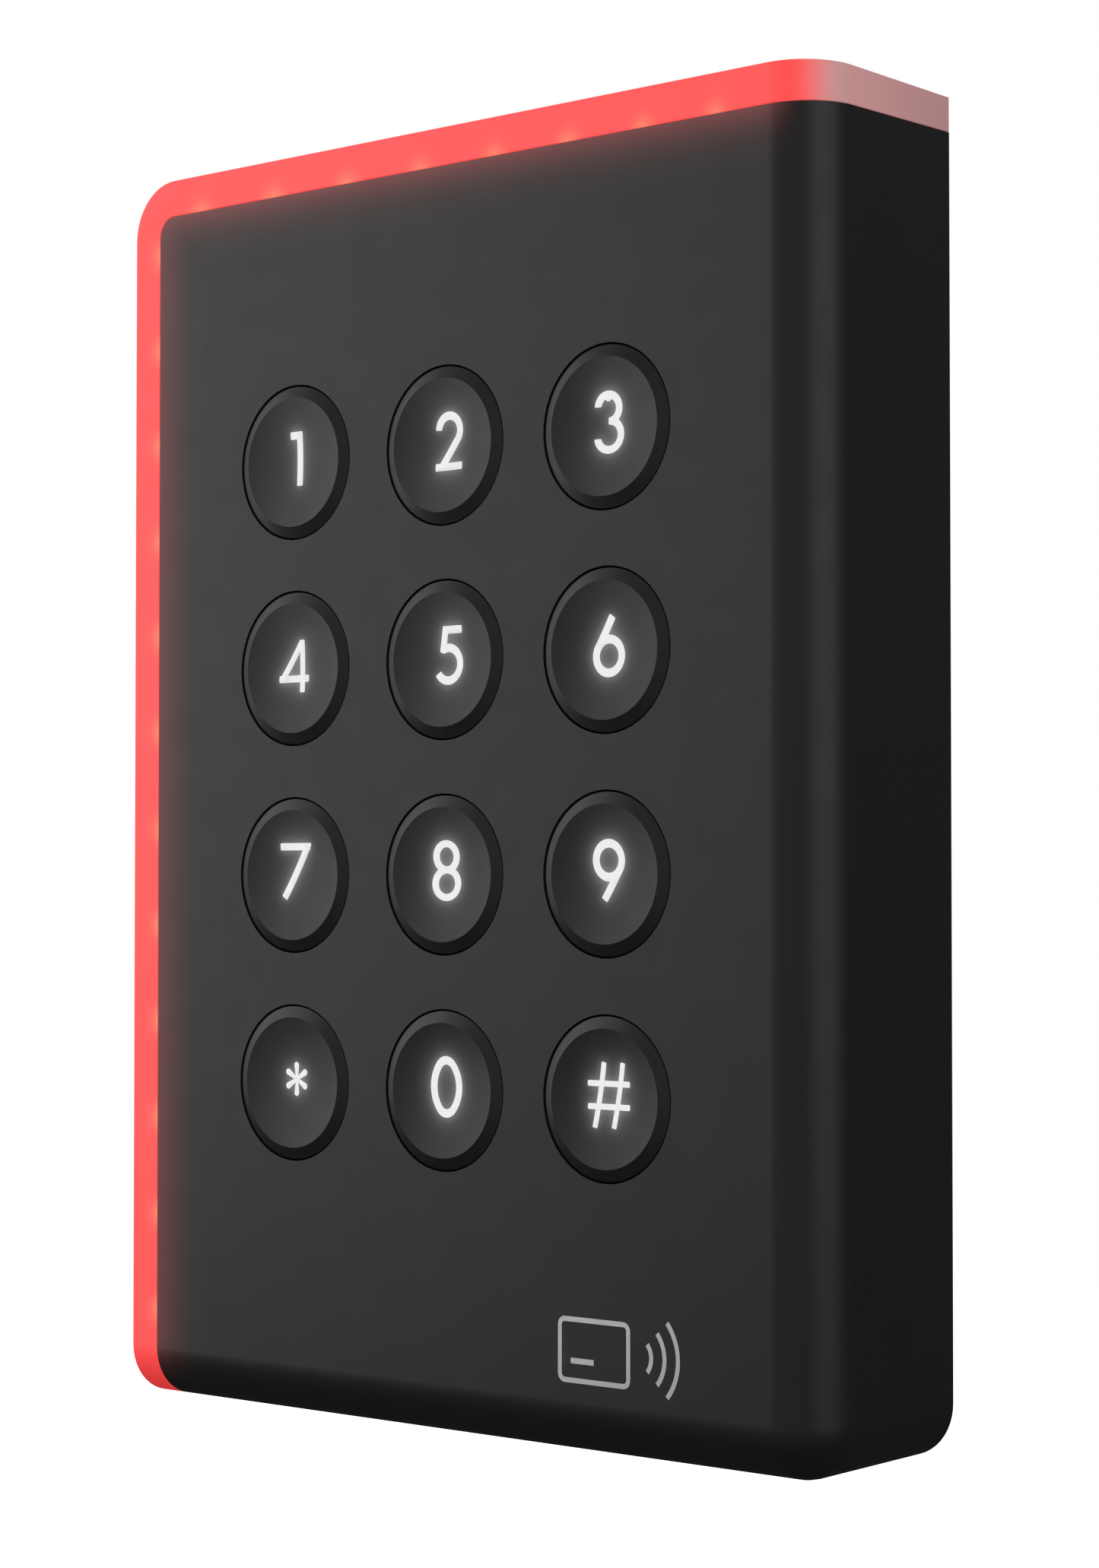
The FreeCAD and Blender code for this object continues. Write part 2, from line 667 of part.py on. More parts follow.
def rear_base():
    x0, x1 = CAVITY_LEFT + BASE_GAP, CAVITY_RIGHT - BASE_GAP
    z0, z1 = CAVITY_BOTTOM + BASE_GAP, CAVITY_TOP - BASE_GAP
    body = soft_box(x0, x1, BOARD_REAR, BASE_REAR, z0, z1, EDGE_R - WALL)
    hollow = soft_box(x0 + BASE_WALL, x1 - BASE_WALL, BOARD_REAR - 1, BACK_WALL_FRONT,
                      z0 + BASE_WALL, z1 - BASE_WALL, 1.2)
    body = body.cut(hollow)
    columns = [rod(x, z, BOSS_R + 0.4, BOARD_REAR, BACK_WALL_FRONT + 0.5) for x, z in boss_places()]
    cup_back = BACK_WALL_FRONT + 0.5
    cups = [screw_slot(x, z, turn, CUP_R + CUP_SKIN, CUP_L + 2 * CUP_SKIN, CUP_FLOOR - 1, cup_back)
            for x, z, turn in wall_slots()]
    body = joined([body] + columns + cups)
    cuts = [rod(x, z, CASE_SCREW_R + 0.3, -12, 0) for x, z in boss_places()]
    cuts += [rod(x, z, CASE_SCREW_HEAD_R + 0.3, -5.5, 0) for x, z in boss_places()]
    cuts += [screw_slot(x, z, turn, CUP_R, CUP_L, CUP_FLOOR, 0) for x, z, turn in wall_slots()]
    cuts.append(box(CABLE_LOW[0] + 1, CABLE_HIGH[0] - 1, -5, 0, CABLE_LOW[1] + 1, CABLE_HIGH[1] - 1))
    cuts += [box(x - HOOK_W / 2 - 0.5, x + HOOK_W / 2 + 0.5, -5, 0, HOOK_Z - 3.8, HOOK_Z + 0.1 + PLATE_T / 2)
             for x in HOOK_X]
    cuts.append(rod(TAMPER_X, TAMPER_Z, PLUNGER_R + 0.5, -5, 0))
    cuts.append(box(-8, 8, -9.5, 0, z0 - 1, z0 + 4.5))
    return body.cut(Part.makeCompound(cuts))


def hook(x):
    """A tab bent forward from the plate, with a lip up behind the base."""
    low = HOOK_Z - PLATE_T / 2
    high = HOOK_Z + PLATE_T / 2
    lip_back = BACK_WALL_FRONT - 0.5
    tab = box(x - HOOK_W / 2, x + HOOK_W / 2, lip_back - PLATE_T, -PLATE_T / 2, low, high)
    lip = box(x - HOOK_W / 2, x + HOOK_W / 2, lip_back - PLATE_T, lip_back, low, high + 2.2)
    return [tab, lip]


def mounting_plate():
    x0, x1 = PLATE_X - PLATE_W / 2, PLATE_X + PLATE_W / 2
    z0, z1 = PLATE_Z - PLATE_H / 2, PLATE_Z + PLATE_H / 2
    sheet = soft_box(x0, x1, -PLATE_T, 0, z0, z1, 3.0)
    notch = box(-7, 7, -PLATE_T - 1, 1, z0 - 1, FLANGE_Z - PLATE_T)
    flange = box(-6, 6, SECURITY_Y - 3, -PLATE_T / 2, FLANGE_Z - PLATE_T, FLANGE_Z)
    cuts = [screw_slot(x, z, turn, SLOT_R, SLOT_L, -5, 5) for x, z, turn in wall_slots()]
    cuts.append(soft_box(CABLE_LOW[0], CABLE_HIGH[0], -5, 5, CABLE_LOW[1], CABLE_HIGH[1], 2.0))
    cuts.append(rod(TAMPER_X, TAMPER_Z, PLUNGER_R + 0.8, -5, 5))
    hooks = [piece for x in HOOK_X for piece in hook(x)]
    plate = joined([sheet.cut(Part.makeCompound(cuts + [notch])), flange] + hooks)
    thread = Part.makeCylinder(SECURITY_R + 0.05, 10, Vector(0, SECURITY_Y, FLANGE_Z - 5))
    return plate.cut(thread)


def case_screws():
    screws = []
    for x, z in boss_places():
        shank = rod(x, z, CASE_SCREW_R, -16.0, -5.45)
        head = rod(x, z, CASE_SCREW_HEAD_R, -5.45, -3.6)
        socket = rod(x, z, 1.0, -4.6, -3)
        screws.append(joined([shank, head]).cut(socket))
    return screws


def security_screw():
    low = BOTTOM + SECURITY_FLOOR - SEAM - SECURITY_HEAD_T
    head = Part.makeCylinder(SECURITY_HEAD_R, SECURITY_HEAD_T, Vector(0, SECURITY_Y, low))
    shank = Part.makeCylinder(SECURITY_R, FLANGE_Z + 0.5 - low, Vector(0, SECURITY_Y, low))
    recess = Part.makeCylinder(1.1, 1.2, Vector(0, SECURITY_Y, low))
    pin = Part.makeCylinder(0.4, 1.2, Vector(0, SECURITY_Y, low))
    return joined([head, shank]).cut(recess.cut(pin))


def main():
    os.makedirs("parts", exist_ok=True)
    save("front_cover", [front_cover()])
    save("light_guide", [light_guide()])
    save("card_mark", card_mark(0).Solids)
    for name, draw, x, z in key_places():
        save(f"key_cap_{name}", [moved(key_cap(draw), x, z)])
        save(f"key_legend_{name}", [moved(key_legend(draw), x, z)])
    save("keypad_mat", [keypad_mat()])
    save("contact_pills", contact_pills())
    save("key_backlights", key_backlights())
    save("main_board", [main_board()])
    save("top_light_strip", [top_light_strip()])
    save("left_light_strip", [left_light_strip()])
    save("top_edge_lights", top_edge_lights())
    save("left_edge_lights", left_edge_lights())
    save("antenna_coil", [antenna_coil()])
    save("controller_chip", [on_board_rear(-6, 24, 5, 5, 1.2)])
    save("radio_chip", [on_board_rear(12, 26, 3.5, 3.5, 1.0)])
    save("board_components", board_components())
    save("buzzer", [buzzer()])
    save("wiring_socket", [wiring_socket()])
    save("socket_pins", socket_pins())
    save("tamper_switch", [tamper_switch()])
    save("tamper_plunger", [tamper_plunger()])
    save("rear_base", [rear_base()])
    save("mounting_plate", [mounting_plate()])
    save("case_screws", case_screws())
    save("security_screw", [security_screw()])


main()
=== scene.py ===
import json
import math

import bmesh
import bpy
import numpy as np
from mathutils import Matrix, Vector


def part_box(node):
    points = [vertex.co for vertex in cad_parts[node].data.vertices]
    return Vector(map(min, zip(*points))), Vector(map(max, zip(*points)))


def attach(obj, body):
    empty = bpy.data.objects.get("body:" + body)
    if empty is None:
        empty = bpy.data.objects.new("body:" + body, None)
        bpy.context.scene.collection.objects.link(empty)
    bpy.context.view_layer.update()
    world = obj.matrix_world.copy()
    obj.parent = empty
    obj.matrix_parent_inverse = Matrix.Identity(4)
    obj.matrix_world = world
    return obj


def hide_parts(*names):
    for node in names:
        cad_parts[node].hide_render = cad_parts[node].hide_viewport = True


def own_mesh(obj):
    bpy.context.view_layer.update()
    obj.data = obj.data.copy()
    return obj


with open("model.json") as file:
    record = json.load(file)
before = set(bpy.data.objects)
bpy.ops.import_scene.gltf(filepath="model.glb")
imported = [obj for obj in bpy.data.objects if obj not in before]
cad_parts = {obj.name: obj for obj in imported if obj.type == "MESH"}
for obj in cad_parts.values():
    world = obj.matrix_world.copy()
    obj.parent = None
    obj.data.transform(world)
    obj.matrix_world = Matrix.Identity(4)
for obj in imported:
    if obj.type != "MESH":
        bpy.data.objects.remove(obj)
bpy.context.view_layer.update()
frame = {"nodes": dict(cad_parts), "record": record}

# Wall keypad reader: charcoal cover, red-lit L-shaped guide, dished keys with lit signs.
# Lengths are metres in the row frame: +X right, +Y into the wall, +Z up.

MM = 0.001
KEYS = ("1", "2", "3", "4", "5", "6", "7", "8", "9", "star", "0", "hash")


# Places and sizes. The cover's are read from the frame.

COVER_LOW, COVER_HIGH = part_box("front_cover")
FACE_Y = COVER_LOW.y
SEAM_X = COVER_LOW.x
SEAM_Z = COVER_HIGH.z
EDGE_R = 5 * MM
ROUND_X = COVER_HIGH.x - EDGE_R     # where the face begins to turn into the right side

# Key, in millimetres: radii from its own axis, and places along Y
KEY_R = 7.21
RIM_R = 6.16
RIM_FRONT = -20.32
OUTER_FRONT = -19.90
DISH_DEPTH = 0.5
DISH_DIP = 0.7512       # half-way out, the dish is this share of its full depth
FLANGE_R = 8.3
FLANGE_FRONT = -17.65
FLANGE_BACK = -16.65
STEM_R = 3.0
STEM_END = -14.0

# Mat under the keys
HOLE_R = 5.52 * MM

# Red spill painted as glow on the cover from each seam: reach, how sharply it falls, strength
SIDE_SPILL = (2.74 * MM, 1.46, 0.10)
TOP_SPILL = (1.68 * MM, 1.26, 0.145)

# The bright patch in front of each lamp: half its length, then its spill from the seam
SPOT_HALF = 1.25 * MM
SPOT_SPILL = (0.95 * MM, 1.5, 1.0)

# A lit sign's glow painted on its key, in millimetres: two blurs, each with a strength, and their grid
SIGN_BLUR_CLOSE, SIGN_GLOW_CLOSE = 0.38, 0.16
SIGN_BLUR_WIDE, SIGN_GLOW_WIDE = 1.02, 0.20
SIGN_GRID_STEP = 0.06
SIGN_GRID_HALF = 7.4

# Points of a finished mesh that lie this close are one point
CLOSE_GAP = 0.002 * MM
FINE_GAP = 0.0005 * MM

# Camera, with its angles in degrees, and floor
CAMERA_LENS = 80.69
CAMERA_PLACE = (222.05 * MM, -251.58 * MM, -9.74 * MM)
CAMERA_AZIMUTH = 42.073
CAMERA_PITCH = 1.675
FLOOR_HALF = 6.0
FLOOR_Z = -0.25

# Edge lamps: the side row is even, and each step of the top row is shorter than the last
SIDE_LAMPS = 12
SIDE_LAMP_FIRST = -51.3 * MM
SIDE_LAMP_PITCH = 9.455 * MM
TOP_LAMPS = 8
TOP_LAMP_FIRST = -33.0 * MM
TOP_LAMP_STEP = 10.3 * MM
TOP_LAMP_CLOSING = 0.33 * MM
TOP_LAMP_MEAN_PITCH = 9.3 * MM
KEY_PITCH = 19.65 * MM


# Shader helpers

class Finish:
    """One material: a Principled surface with its own small set of nodes."""

    def __init__(self, name, colour, roughness, specular=0.5, metallic=0.0):
        self.material = bpy.data.materials.new(name)
        self.material.use_nodes = True
        self.tree = self.material.node_tree
        self.shader = self.tree.nodes["Principled BSDF"]
        self.shader.inputs["Base Color"].default_value = (*colour, 1.0)
        self.shader.inputs["Roughness"].default_value = roughness
        self.shader.inputs["Specular IOR Level"].default_value = specular
        self.shader.inputs["Metallic"].default_value = metallic
        self.colour = colour
        self.roughness = roughness
        self.place = self.add("ShaderNodeTexCoord").outputs["Object"]

    def add(self, kind, **settings):
        node = self.tree.nodes.new(kind)
        for key, value in settings.items():
            setattr(node, key, value)
        return node

    def feed(self, node, socket, value):
        """Links a socket, or sets it when the value is plain."""
        target = node.inputs[socket]
        if isinstance(value, bpy.types.NodeSocket):
            self.tree.links.new(value, target)
        else:
            target.default_value = value

    def math(self, operation, a, b=0.0):
        node = self.add("ShaderNodeMath", operation=operation)
        self.feed(node, 0, a)
        self.feed(node, 1, b)
        return node.outputs[0]

    def ramp(self, value, low, high, to_low=0.0, to_high=1.0):
        """A smooth step from one value to another."""
        node = self.add("ShaderNodeMapRange", interpolation_type="SMOOTHSTEP")
        self.feed(node, "Value", value)
        self.feed(node, "From Min", low)
        self.feed(node, "From Max", high)
        self.feed(node, "To Min", to_low)
        self.feed(node, "To Max", to_high)
        return node.outputs["Result"]

    def axes(self):
        split = self.add("ShaderNodeSeparateXYZ")
        self.feed(split, 0, self.place)
        return split.outputs

    def noise(self, size, detail=3.0, stretch=None):
        """Noise whose features are about the given size, in metres."""
        place = self.place
        if stretch:
            mapping = self.add("ShaderNodeMapping")
            self.feed(mapping, "Vector", self.place)
            mapping.inputs["Scale"].default_value = stretch
            place = mapping.outputs[0]
        node = self.add("ShaderNodeTexNoise")
        self.feed(node, "Vector", place)
        self.feed(node, "Scale", 1.0 / size)
        self.feed(node, "Detail", detail)
        return node.outputs["Fac"]

    def mix(self, factor, a, b):
        node = self.add("ShaderNodeMix", data_type="RGBA")
        self.feed(node, 0, factor)
        self.feed(node, 6, (*a, 1.0) if isinstance(a, tuple) else a)
        self.feed(node, 7, (*b, 1.0) if isinstance(b, tuple) else b)
        return node.outputs[2]

    def cloud(self, size, spread):
        """Slight uneven tone of the base colour."""
        dark = tuple(c * (1 - spread) for c in self.colour)
        light = tuple(min(1.0, c * (1 + spread)) for c in self.colour)
        self.feed(self.shader, "Base Color", self.mix(self.noise(size), dark, light))

    def uneven_gloss(self, size, spread):
        value = self.ramp(self.noise(size, 2.0), 0.3, 0.7, self.roughness - spread, self.roughness + spread)
        self.feed(self.shader, "Roughness", value)

    def grain(self, size, depth, strength=1.0, detail=2.0, stretch=None):
        bump = self.add("ShaderNodeBump")
        self.feed(bump, "Height", self.noise(size, detail, stretch))
        self.feed(bump, "Distance", depth)
        self.feed(bump, "Strength", strength)
        self.feed(self.shader, "Normal", bump.outputs[0])

    def glow(self, colour, strength):
        self.feed(self.shader, "Emission Color", (*colour, 1.0) if isinstance(colour, tuple) else colour)
        self.feed(self.shader, "Emission Strength", strength)


# Finishes

GUIDE_LIT = (1.0, 0.068, 0.068)
GUIDE_SPOT = (1.0, 0.19, 0.11)
GUIDE_LEAK = (0.37, 0.155, 0.155)
GUIDE_COLD = (0.50, 0.38, 0.38)
GUIDE_FOOT = (0.58, 0.032, 0.030)
GUIDE_WARM = (0.25, 0.03, 0.03)
PAINTED_SPILL_RED = (1.0, 0.18, 0.18)


def round_the_corner(f, x, y):
    """Distance travelled round the right-hand corner, across and back together, until the side is flat."""
    back = f.math("MINIMUM", f.math("SUBTRACT", y, FACE_Y), EDGE_R)
    return f.math("ADD", f.math("SUBTRACT", x, ROUND_X), back)


def fade(f, distance, reach, power, strength):
    """Light that falls away from an edge as strength * exp(-(distance / reach) ** power)."""
    steps = f.math("DIVIDE", f.math("MAXIMUM", distance, 0.0), reach)
    falling = f.math("MULTIPLY", f.math("POWER", steps, power), -1.0)
    return f.math("MULTIPLY", f.math("EXPONENT", falling), strength)


def cover_finish():
    """Satin charcoal plastic, with the guide's red spill along its two lit edges painted on as glow."""
    f = Finish("charcoal_cover", (0.021, 0.021, 0.0212), 0.42, 0.5)
    f.cloud(9 * MM, 0.05)
    f.uneven_gloss(4 * MM, 0.015)
    f.grain(0.16 * MM, 0.004 * MM, 0.35)
    x, y, z = f.axes()
    # Painted light: red glow laid on the cover near the left and top seams, fading away from them, off the
    # face and round the right corner.
    side = fade(f, f.math("SUBTRACT", x, SEAM_X), *SIDE_SPILL)
    side = f.math("MULTIPLY", side, f.ramp(z, -58.5 * MM, -53 * MM))
    top = fade(f, f.math("SUBTRACT", SEAM_Z, z), *TOP_SPILL)
    top = f.math("MULTIPLY", top, f.ramp(round_the_corner(f, x, y), -1.5 * MM, 4.0 * MM, 1.0, 0.0))
    both = f.math("SQRT", f.math("ADD", f.math("MULTIPLY", side, side), f.math("MULTIPLY", top, top)))
    on_face = f.ramp(y, FACE_Y + 1 * MM, FACE_Y + 6 * MM, 1.0, 0.0)
    f.glow(PAINTED_SPILL_RED, f.math("MULTIPLY", both, on_face))
    return f.material


def spot_row(f, step_from_lamp, from_seam):
    """One row of soft bright patches where the lamps stand close behind the guide."""
    along = f.math("DIVIDE", step_from_lamp, SPOT_HALF)
    along = f.math("EXPONENT", f.math("MULTIPLY", f.math("MULTIPLY", along, along), -1.0))
    return f.math("MULTIPLY", along, fade(f, from_seam, *SPOT_SPILL))


def lamp_step(f, number, pitch, count):
    """Distance to the nearest lamp, from a running lamp number."""
    held = f.math("MINIMUM", f.math("MAXIMUM", number, 0.0), count - 1.0)
    nearest = f.math("ROUND", held)
    return f.math("MULTIPLY", f.math("SUBTRACT", number, nearest), pitch)


def guide_finish():
    """Frosted red-lit plastic, brighter in front of each lamp, unlit at its far end."""
    f = Finish("frosted_guide", GUIDE_WARM, 0.42, 0.5)
    f.grain(0.3 * MM, 0.003 * MM, 0.3)
    x, y, z = f.axes()
    number = f.math("DIVIDE", f.math("SUBTRACT", z, SIDE_LAMP_FIRST), SIDE_LAMP_PITCH)
    side = spot_row(f, lamp_step(f, number, SIDE_LAMP_PITCH, SIDE_LAMPS), f.math("SUBTRACT", SEAM_X, x))
    # Lamp i of the top row stands at first + a * i - b * i * i, so i comes from the square root.
    b = TOP_LAMP_CLOSING / 2
    a = TOP_LAMP_STEP + b
    run = f.math("SUBTRACT", x, TOP_LAMP_FIRST)
    inside = f.math("SUBTRACT", a ** 2, f.math("MULTIPLY", run, 4 * b))
    root = f.math("SQRT", f.math("MAXIMUM", inside, 0.0))
    number = f.math("DIVIDE", f.math("SUBTRACT", a, root), 2 * b)
    along = lamp_step(f, number, TOP_LAMP_MEAN_PITCH, TOP_LAMPS)
    top = spot_row(f, along, f.math("SUBTRACT", z, SEAM_Z))
    near_face = f.ramp(y, FACE_Y + 2 * MM, FACE_Y + 9 * MM, 1.0, 0.35)
    spots = f.math("MULTIPLY", f.math("MAXIMUM", side, top), near_face)
    cold = f.ramp(round_the_corner(f, x, y), 2.1 * MM, 8.9 * MM, 0.0, 1.0)
    uneven = f.ramp(f.noise(6 * MM, 2.0), 0.2, 0.8, 0.97, 1.03)
    uneven = f.math("MULTIPLY", uneven, f.ramp(y, FACE_Y + 3 * MM, -1 * MM, 1.0, 0.70))
    tone = f.mix(spots, GUIDE_LIT, GUIDE_SPOT)
    tone = f.mix(f.ramp(z, -54 * MM, -59.5 * MM), tone, GUIDE_FOOT)
    f.feed(f.shader, "Base Color", f.mix(cold, GUIDE_WARM, GUIDE_COLD))
    f.glow(f.mix(cold, tone, GUIDE_LEAK), uneven)
    return f.material


def key_finish():
    """The cover's plastic, with the sign's light on the dish round it painted on as glow."""
    f = Finish("key_shell", (0.019, 0.019, 0.0192), 0.40, 0.5)
    f.cloud(6 * MM, 0.05)
    f.uneven_gloss(2 * MM, 0.015)
    f.grain(0.14 * MM, 0.003 * MM, 0.3)
    # Painted light: the sign's glow on the dish, read per point, drives the shell's emission.
    halo = f.add("ShaderNodeAttribute", attribute_name="painted_sign_glow").outputs["Fac"]
    f.glow((1.0, 1.0, 1.0), halo)
    return f.material


def sign_finish():
    f = Finish("lit_sign", (0.30, 0.30, 0.30), 0.5, 0.2)
    f.cloud(1.5 * MM, 0.02)
    f.grain(0.12 * MM, 0.002 * MM, 0.3)
    f.glow((1.0, 1.0, 1.0), 0.745)
    return f.material


def plain_finish(name, colour, roughness, tone=0.06, size=3.0, grain=0.2, depth=0.004, **more):
    """Moulded or cast stock: uneven tone, uneven gloss and a fine grain, sizes in millimetres."""
    f = Finish(name, colour, roughness, **more)
    f.cloud(size * MM, tone)
    f.uneven_gloss(size * 0.6 * MM, 0.04)
    f.grain(grain * MM, depth * MM, 0.6)
    return f.material


def plate_finish():
    """Zinc-plated pressed steel, rolled upright."""
    f = Finish("zinc_plate", (0.62, 0.63, 0.64), 0.38, 0.5, 0.7)
    f.cloud(3 * MM, 0.04)
    f.uneven_gloss(1.5 * MM, 0.03)
    f.grain(0.12 * MM, 0.004 * MM, 0.5, 3.0, (1.0, 1.0, 0.04))
    return f.material


def board_finish():
    """Green mask over copper tracks that run side by side, upright in some patches and level in others."""
    f = Finish("board_mask", (0.010, 0.085, 0.040), 0.32, 0.5)
    x, y, z = f.axes()
    patches = f.add("ShaderNodeTexVoronoi", distance="MANHATTAN")
    f.feed(patches, "Vector", f.place)
    f.feed(patches, "Scale", 1.0 / (11 * MM))
    patch = f.add("ShaderNodeSeparateColor")
    f.feed(patch, 0, patches.outputs["Color"])
    upright = f.math("GREATER_THAN", patch.outputs[0], 0.5)
    level = f.math("SUBTRACT", 1.0, upright)
    across = f.math("ADD", f.math("MULTIPLY", x, upright), f.math("MULTIPLY", z, level))
    wave = f.math("SINE", f.math("MULTIPLY", across, 2 * math.pi / (1.3 * MM)))
    filled = f.math("GREATER_THAN", patch.outputs[1], 0.35)
    track = f.math("MULTIPLY", f.ramp(wave, 0.35, 0.6), filled)
    f.feed(f.shader, "Base Color", f.mix(track, f.colour, (0.022, 0.17, 0.075)))
    f.uneven_gloss(2 * MM, 0.04)
    bump = f.add("ShaderNodeBump")
    f.feed(bump, "Height", f.math("ADD", track, f.math("MULTIPLY", f.noise(0.4 * MM), 0.25)))
    f.feed(bump, "Distance", 0.03 * MM)
    f.feed(f.shader, "Normal", bump.outputs[0])
    return f.material


def lamp_finish(name, colour, glow, strength):
    f = Finish(name, colour, 0.3, 0.5)
    f.cloud(0.8 * MM, 0.04)
    f.grain(0.1 * MM, 0.002 * MM, 0.3)
    f.glow(glow, strength)
    return f.material


FINISHES = {
    "black_cover": cover_finish(),
    "light_guide": guide_finish(),
    "key_black": key_finish(),
    "key_legend": sign_finish(),
    "grey_mark": plain_finish("silver_ink", (0.78, 0.78, 0.79), 0.42, 0.04, 2.0, 0.12, 0.002, metallic=1.0),
    "silicone_mat": plain_finish("silicone_mat", (0.55, 0.57, 0.60), 0.55, 0.05, 4.0),
    "carbon_pills": plain_finish("carbon_pill", (0.02, 0.02, 0.02), 0.7, 0.15, 1.0),
    "white_lamps": lamp_finish("white_lamp", (0.8, 0.8, 0.74), (1.0, 1.0, 1.0), 0.6),
    "red_lamps": lamp_finish("red_lamp", (0.8, 0.2, 0.16), (1.0, 0.1, 0.08), 0.8),
    "green_board": board_finish(),
    "white_strip": plain_finish("lamp_strip", (0.70, 0.70, 0.66), 0.4, 0.04, 2.0),
    "copper_coil": plain_finish("coil_wire", (0.60, 0.27, 0.12), 0.3, 0.15, 0.6, metallic=0.9),
    "chip_black": plain_finish("chip_case", (0.018, 0.018, 0.019), 0.5, 0.2, 0.8, 0.08, 0.006),
    "buzzer_black": plain_finish("buzzer_case", (0.02, 0.02, 0.021), 0.45, 0.1, 2.0),
    "socket_white": plain_finish("socket_shell", (0.68, 0.66, 0.58), 0.42, 0.06, 2.0),
    "pin_metal": plain_finish("pin_metal", (0.72, 0.55, 0.28), 0.28, 0.1, 0.8, metallic=1.0),
    "switch_body": plain_finish("switch_body", (0.025, 0.025, 0.026), 0.45, 0.1, 1.5),
    "plunger_white": plain_finish("plunger", (0.70, 0.70, 0.67), 0.38, 0.05, 1.0),
    "base_black": plain_finish("base_plastic", (0.022, 0.022, 0.023), 0.52, 0.12, 5.0, 0.25, 0.01),
    "plate_steel": plate_finish(),
    "screw_steel": plain_finish("screw_steel", (0.50, 0.50, 0.52), 0.3, 0.12, 0.7, metallic=1.0),
}
SLOT_OF = {part["node"]: part["material_slot"] for part in frame["record"]["subparts"]}


def dress(obj, slot):
    obj.data.materials.clear()
    obj.data.materials.append(FINISHES[slot])


# Pieces

def body_of_node(node):
    bodies = frame["record"]["behaviour"]["bodies"]
    return next(body for body, nodes in bodies.items() if node in nodes)


def new_piece(name, mesh, slot, body, *nodes):
    obj = bpy.data.objects.new(name, mesh)
    bpy.context.scene.collection.objects.link(obj)
    dress(obj, slot)
    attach(obj, body)
    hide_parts(*nodes)
    return obj


def merged_copy(node):
    """A CAD node's mesh, joined up, with its flat faces whole again."""
    mesh = frame["nodes"][node].data.copy()
    work = bmesh.new()
    work.from_mesh(mesh)
    bmesh.ops.remove_doubles(work, verts=work.verts, dist=FINE_GAP)
    bmesh.ops.dissolve_limit(work, angle_limit=math.radians(0.3), verts=work.verts, edges=work.edges)
    work.to_mesh(mesh)
    work.free()
    return mesh


def eased_part(node, name, ease=0.0):
    """The part with smooth curves and, where given, slightly broken edges."""
    mesh = merged_copy(node)
    mesh.shade_smooth()
    mesh.set_sharp_from_angle(angle=math.radians(32))
    obj = new_piece(name, mesh, SLOT_OF[node], body_of_node(node), node)
    if ease:
        bevel = obj.modifiers.new("broken edges", "BEVEL")
        bevel.width = ease * MM
        bevel.segments = 2
        bevel.limit_method = "ANGLE"
        bevel.angle_limit = math.radians(40)
    weight = obj.modifiers.new("even shading", "WEIGHTED_NORMAL")
    weight.keep_sharp = True


# Repeated pieces, grown by node trees

class Grower:
    """A geometry node tree with named inputs, ending in Realize Instances and Set Material."""

    def __init__(self, name):
        self.tree = bpy.data.node_groups.new(name, "GeometryNodeTree")
        self.tree.interface.new_socket("Geometry", in_out="OUTPUT", socket_type="NodeSocketGeometry")
        self.source = self.tree.nodes.new("NodeGroupInput")
        self.end = self.tree.nodes.new("NodeGroupOutput")
        self.defaults = {}

    def size(self, name, value, kind="NodeSocketFloat"):
        socket = self.tree.interface.new_socket(name, in_out="INPUT", socket_type=kind)
        if kind != "NodeSocketMaterial":
            socket.default_value = value
        self.defaults[name] = (socket.identifier, value)
        return self.source.outputs[name]

    def add(self, kind, inputs=(), **settings):
        node = self.tree.nodes.new(kind)
        for key, value in settings.items():
            setattr(node, key, value)
        for socket, value in dict(inputs).items():
            target = node.inputs[socket]
            if isinstance(value, bpy.types.NodeSocket):
                self.tree.links.new(value, target)
            else:
                target.default_value = value
        return node.outputs[0] if node.outputs else None

    def math(self, operation, a, b=0.0):
        return self.add("ShaderNodeMath", {0: a, 1: b}, operation=operation)

    def point(self, x=0.0, y=0.0, z=0.0):
        return self.add("ShaderNodeCombineXYZ", {0: x, 1: y, 2: z})

    def lines(self, corners):
        """Straight runs from each corner to the next."""
        return [self.add("GeometryNodeCurvePrimitiveLine", {"Start": a, "End": b})
                for a, b in zip(corners, corners[1:])]

    def moved(self, geometry, **changes):
        """The geometry after a Translation, Rotation or Scale."""
        return self.add("GeometryNodeTransform", {"Geometry": geometry, **changes})

    def joined(self, *parts):
        node = self.tree.nodes.new("GeometryNodeJoinGeometry")
        for part in reversed(parts):
            self.tree.links.new(part, node.inputs[0])
        return node.outputs[0]

    def rounded(self, paths, radius):
        node = self.tree.nodes.new("GeometryNodeFilletCurve")
        if "Mode" in node.inputs:
            node.inputs["Mode"].default_value = "Poly"
        else:
            node.mode = "POLY"
        self.tree.links.new(paths, node.inputs["Curve"])
        node.inputs["Count"].default_value = 6
        self.tree.links.new(radius, node.inputs["Radius"])
        return node.outputs[0]

    def finish(self, geometry, finish):
        whole = self.add("GeometryNodeRealizeInstances", {0: geometry})
        material = self.size("Finish", finish, "NodeSocketMaterial")
        dressed = self.add("GeometryNodeSetMaterial", {"Geometry": whole, "Material": material})
        self.tree.links.new(dressed, self.end.inputs[0])

    def grow(self, **changes):
        """The tree's result as a plain mesh. Its inputs may be changed by name."""
        obj = bpy.data.objects.new("growing", bpy.data.meshes.new("growing"))
        bpy.context.scene.collection.objects.link(obj)
        growth = obj.modifiers.new("growth", "NODES")
        growth.node_group = self.tree
        for name, (identifier, value) in self.defaults.items():
            growth[identifier] = changes.get(name.replace(" ", "_"), value)
        graph = bpy.context.evaluated_depsgraph_get()
        mesh = bpy.data.meshes.new_from_object(obj.evaluated_get(graph), depsgraph=graph)
        obj.modifiers.clear()
        bpy.data.objects.remove(obj)
        return mesh


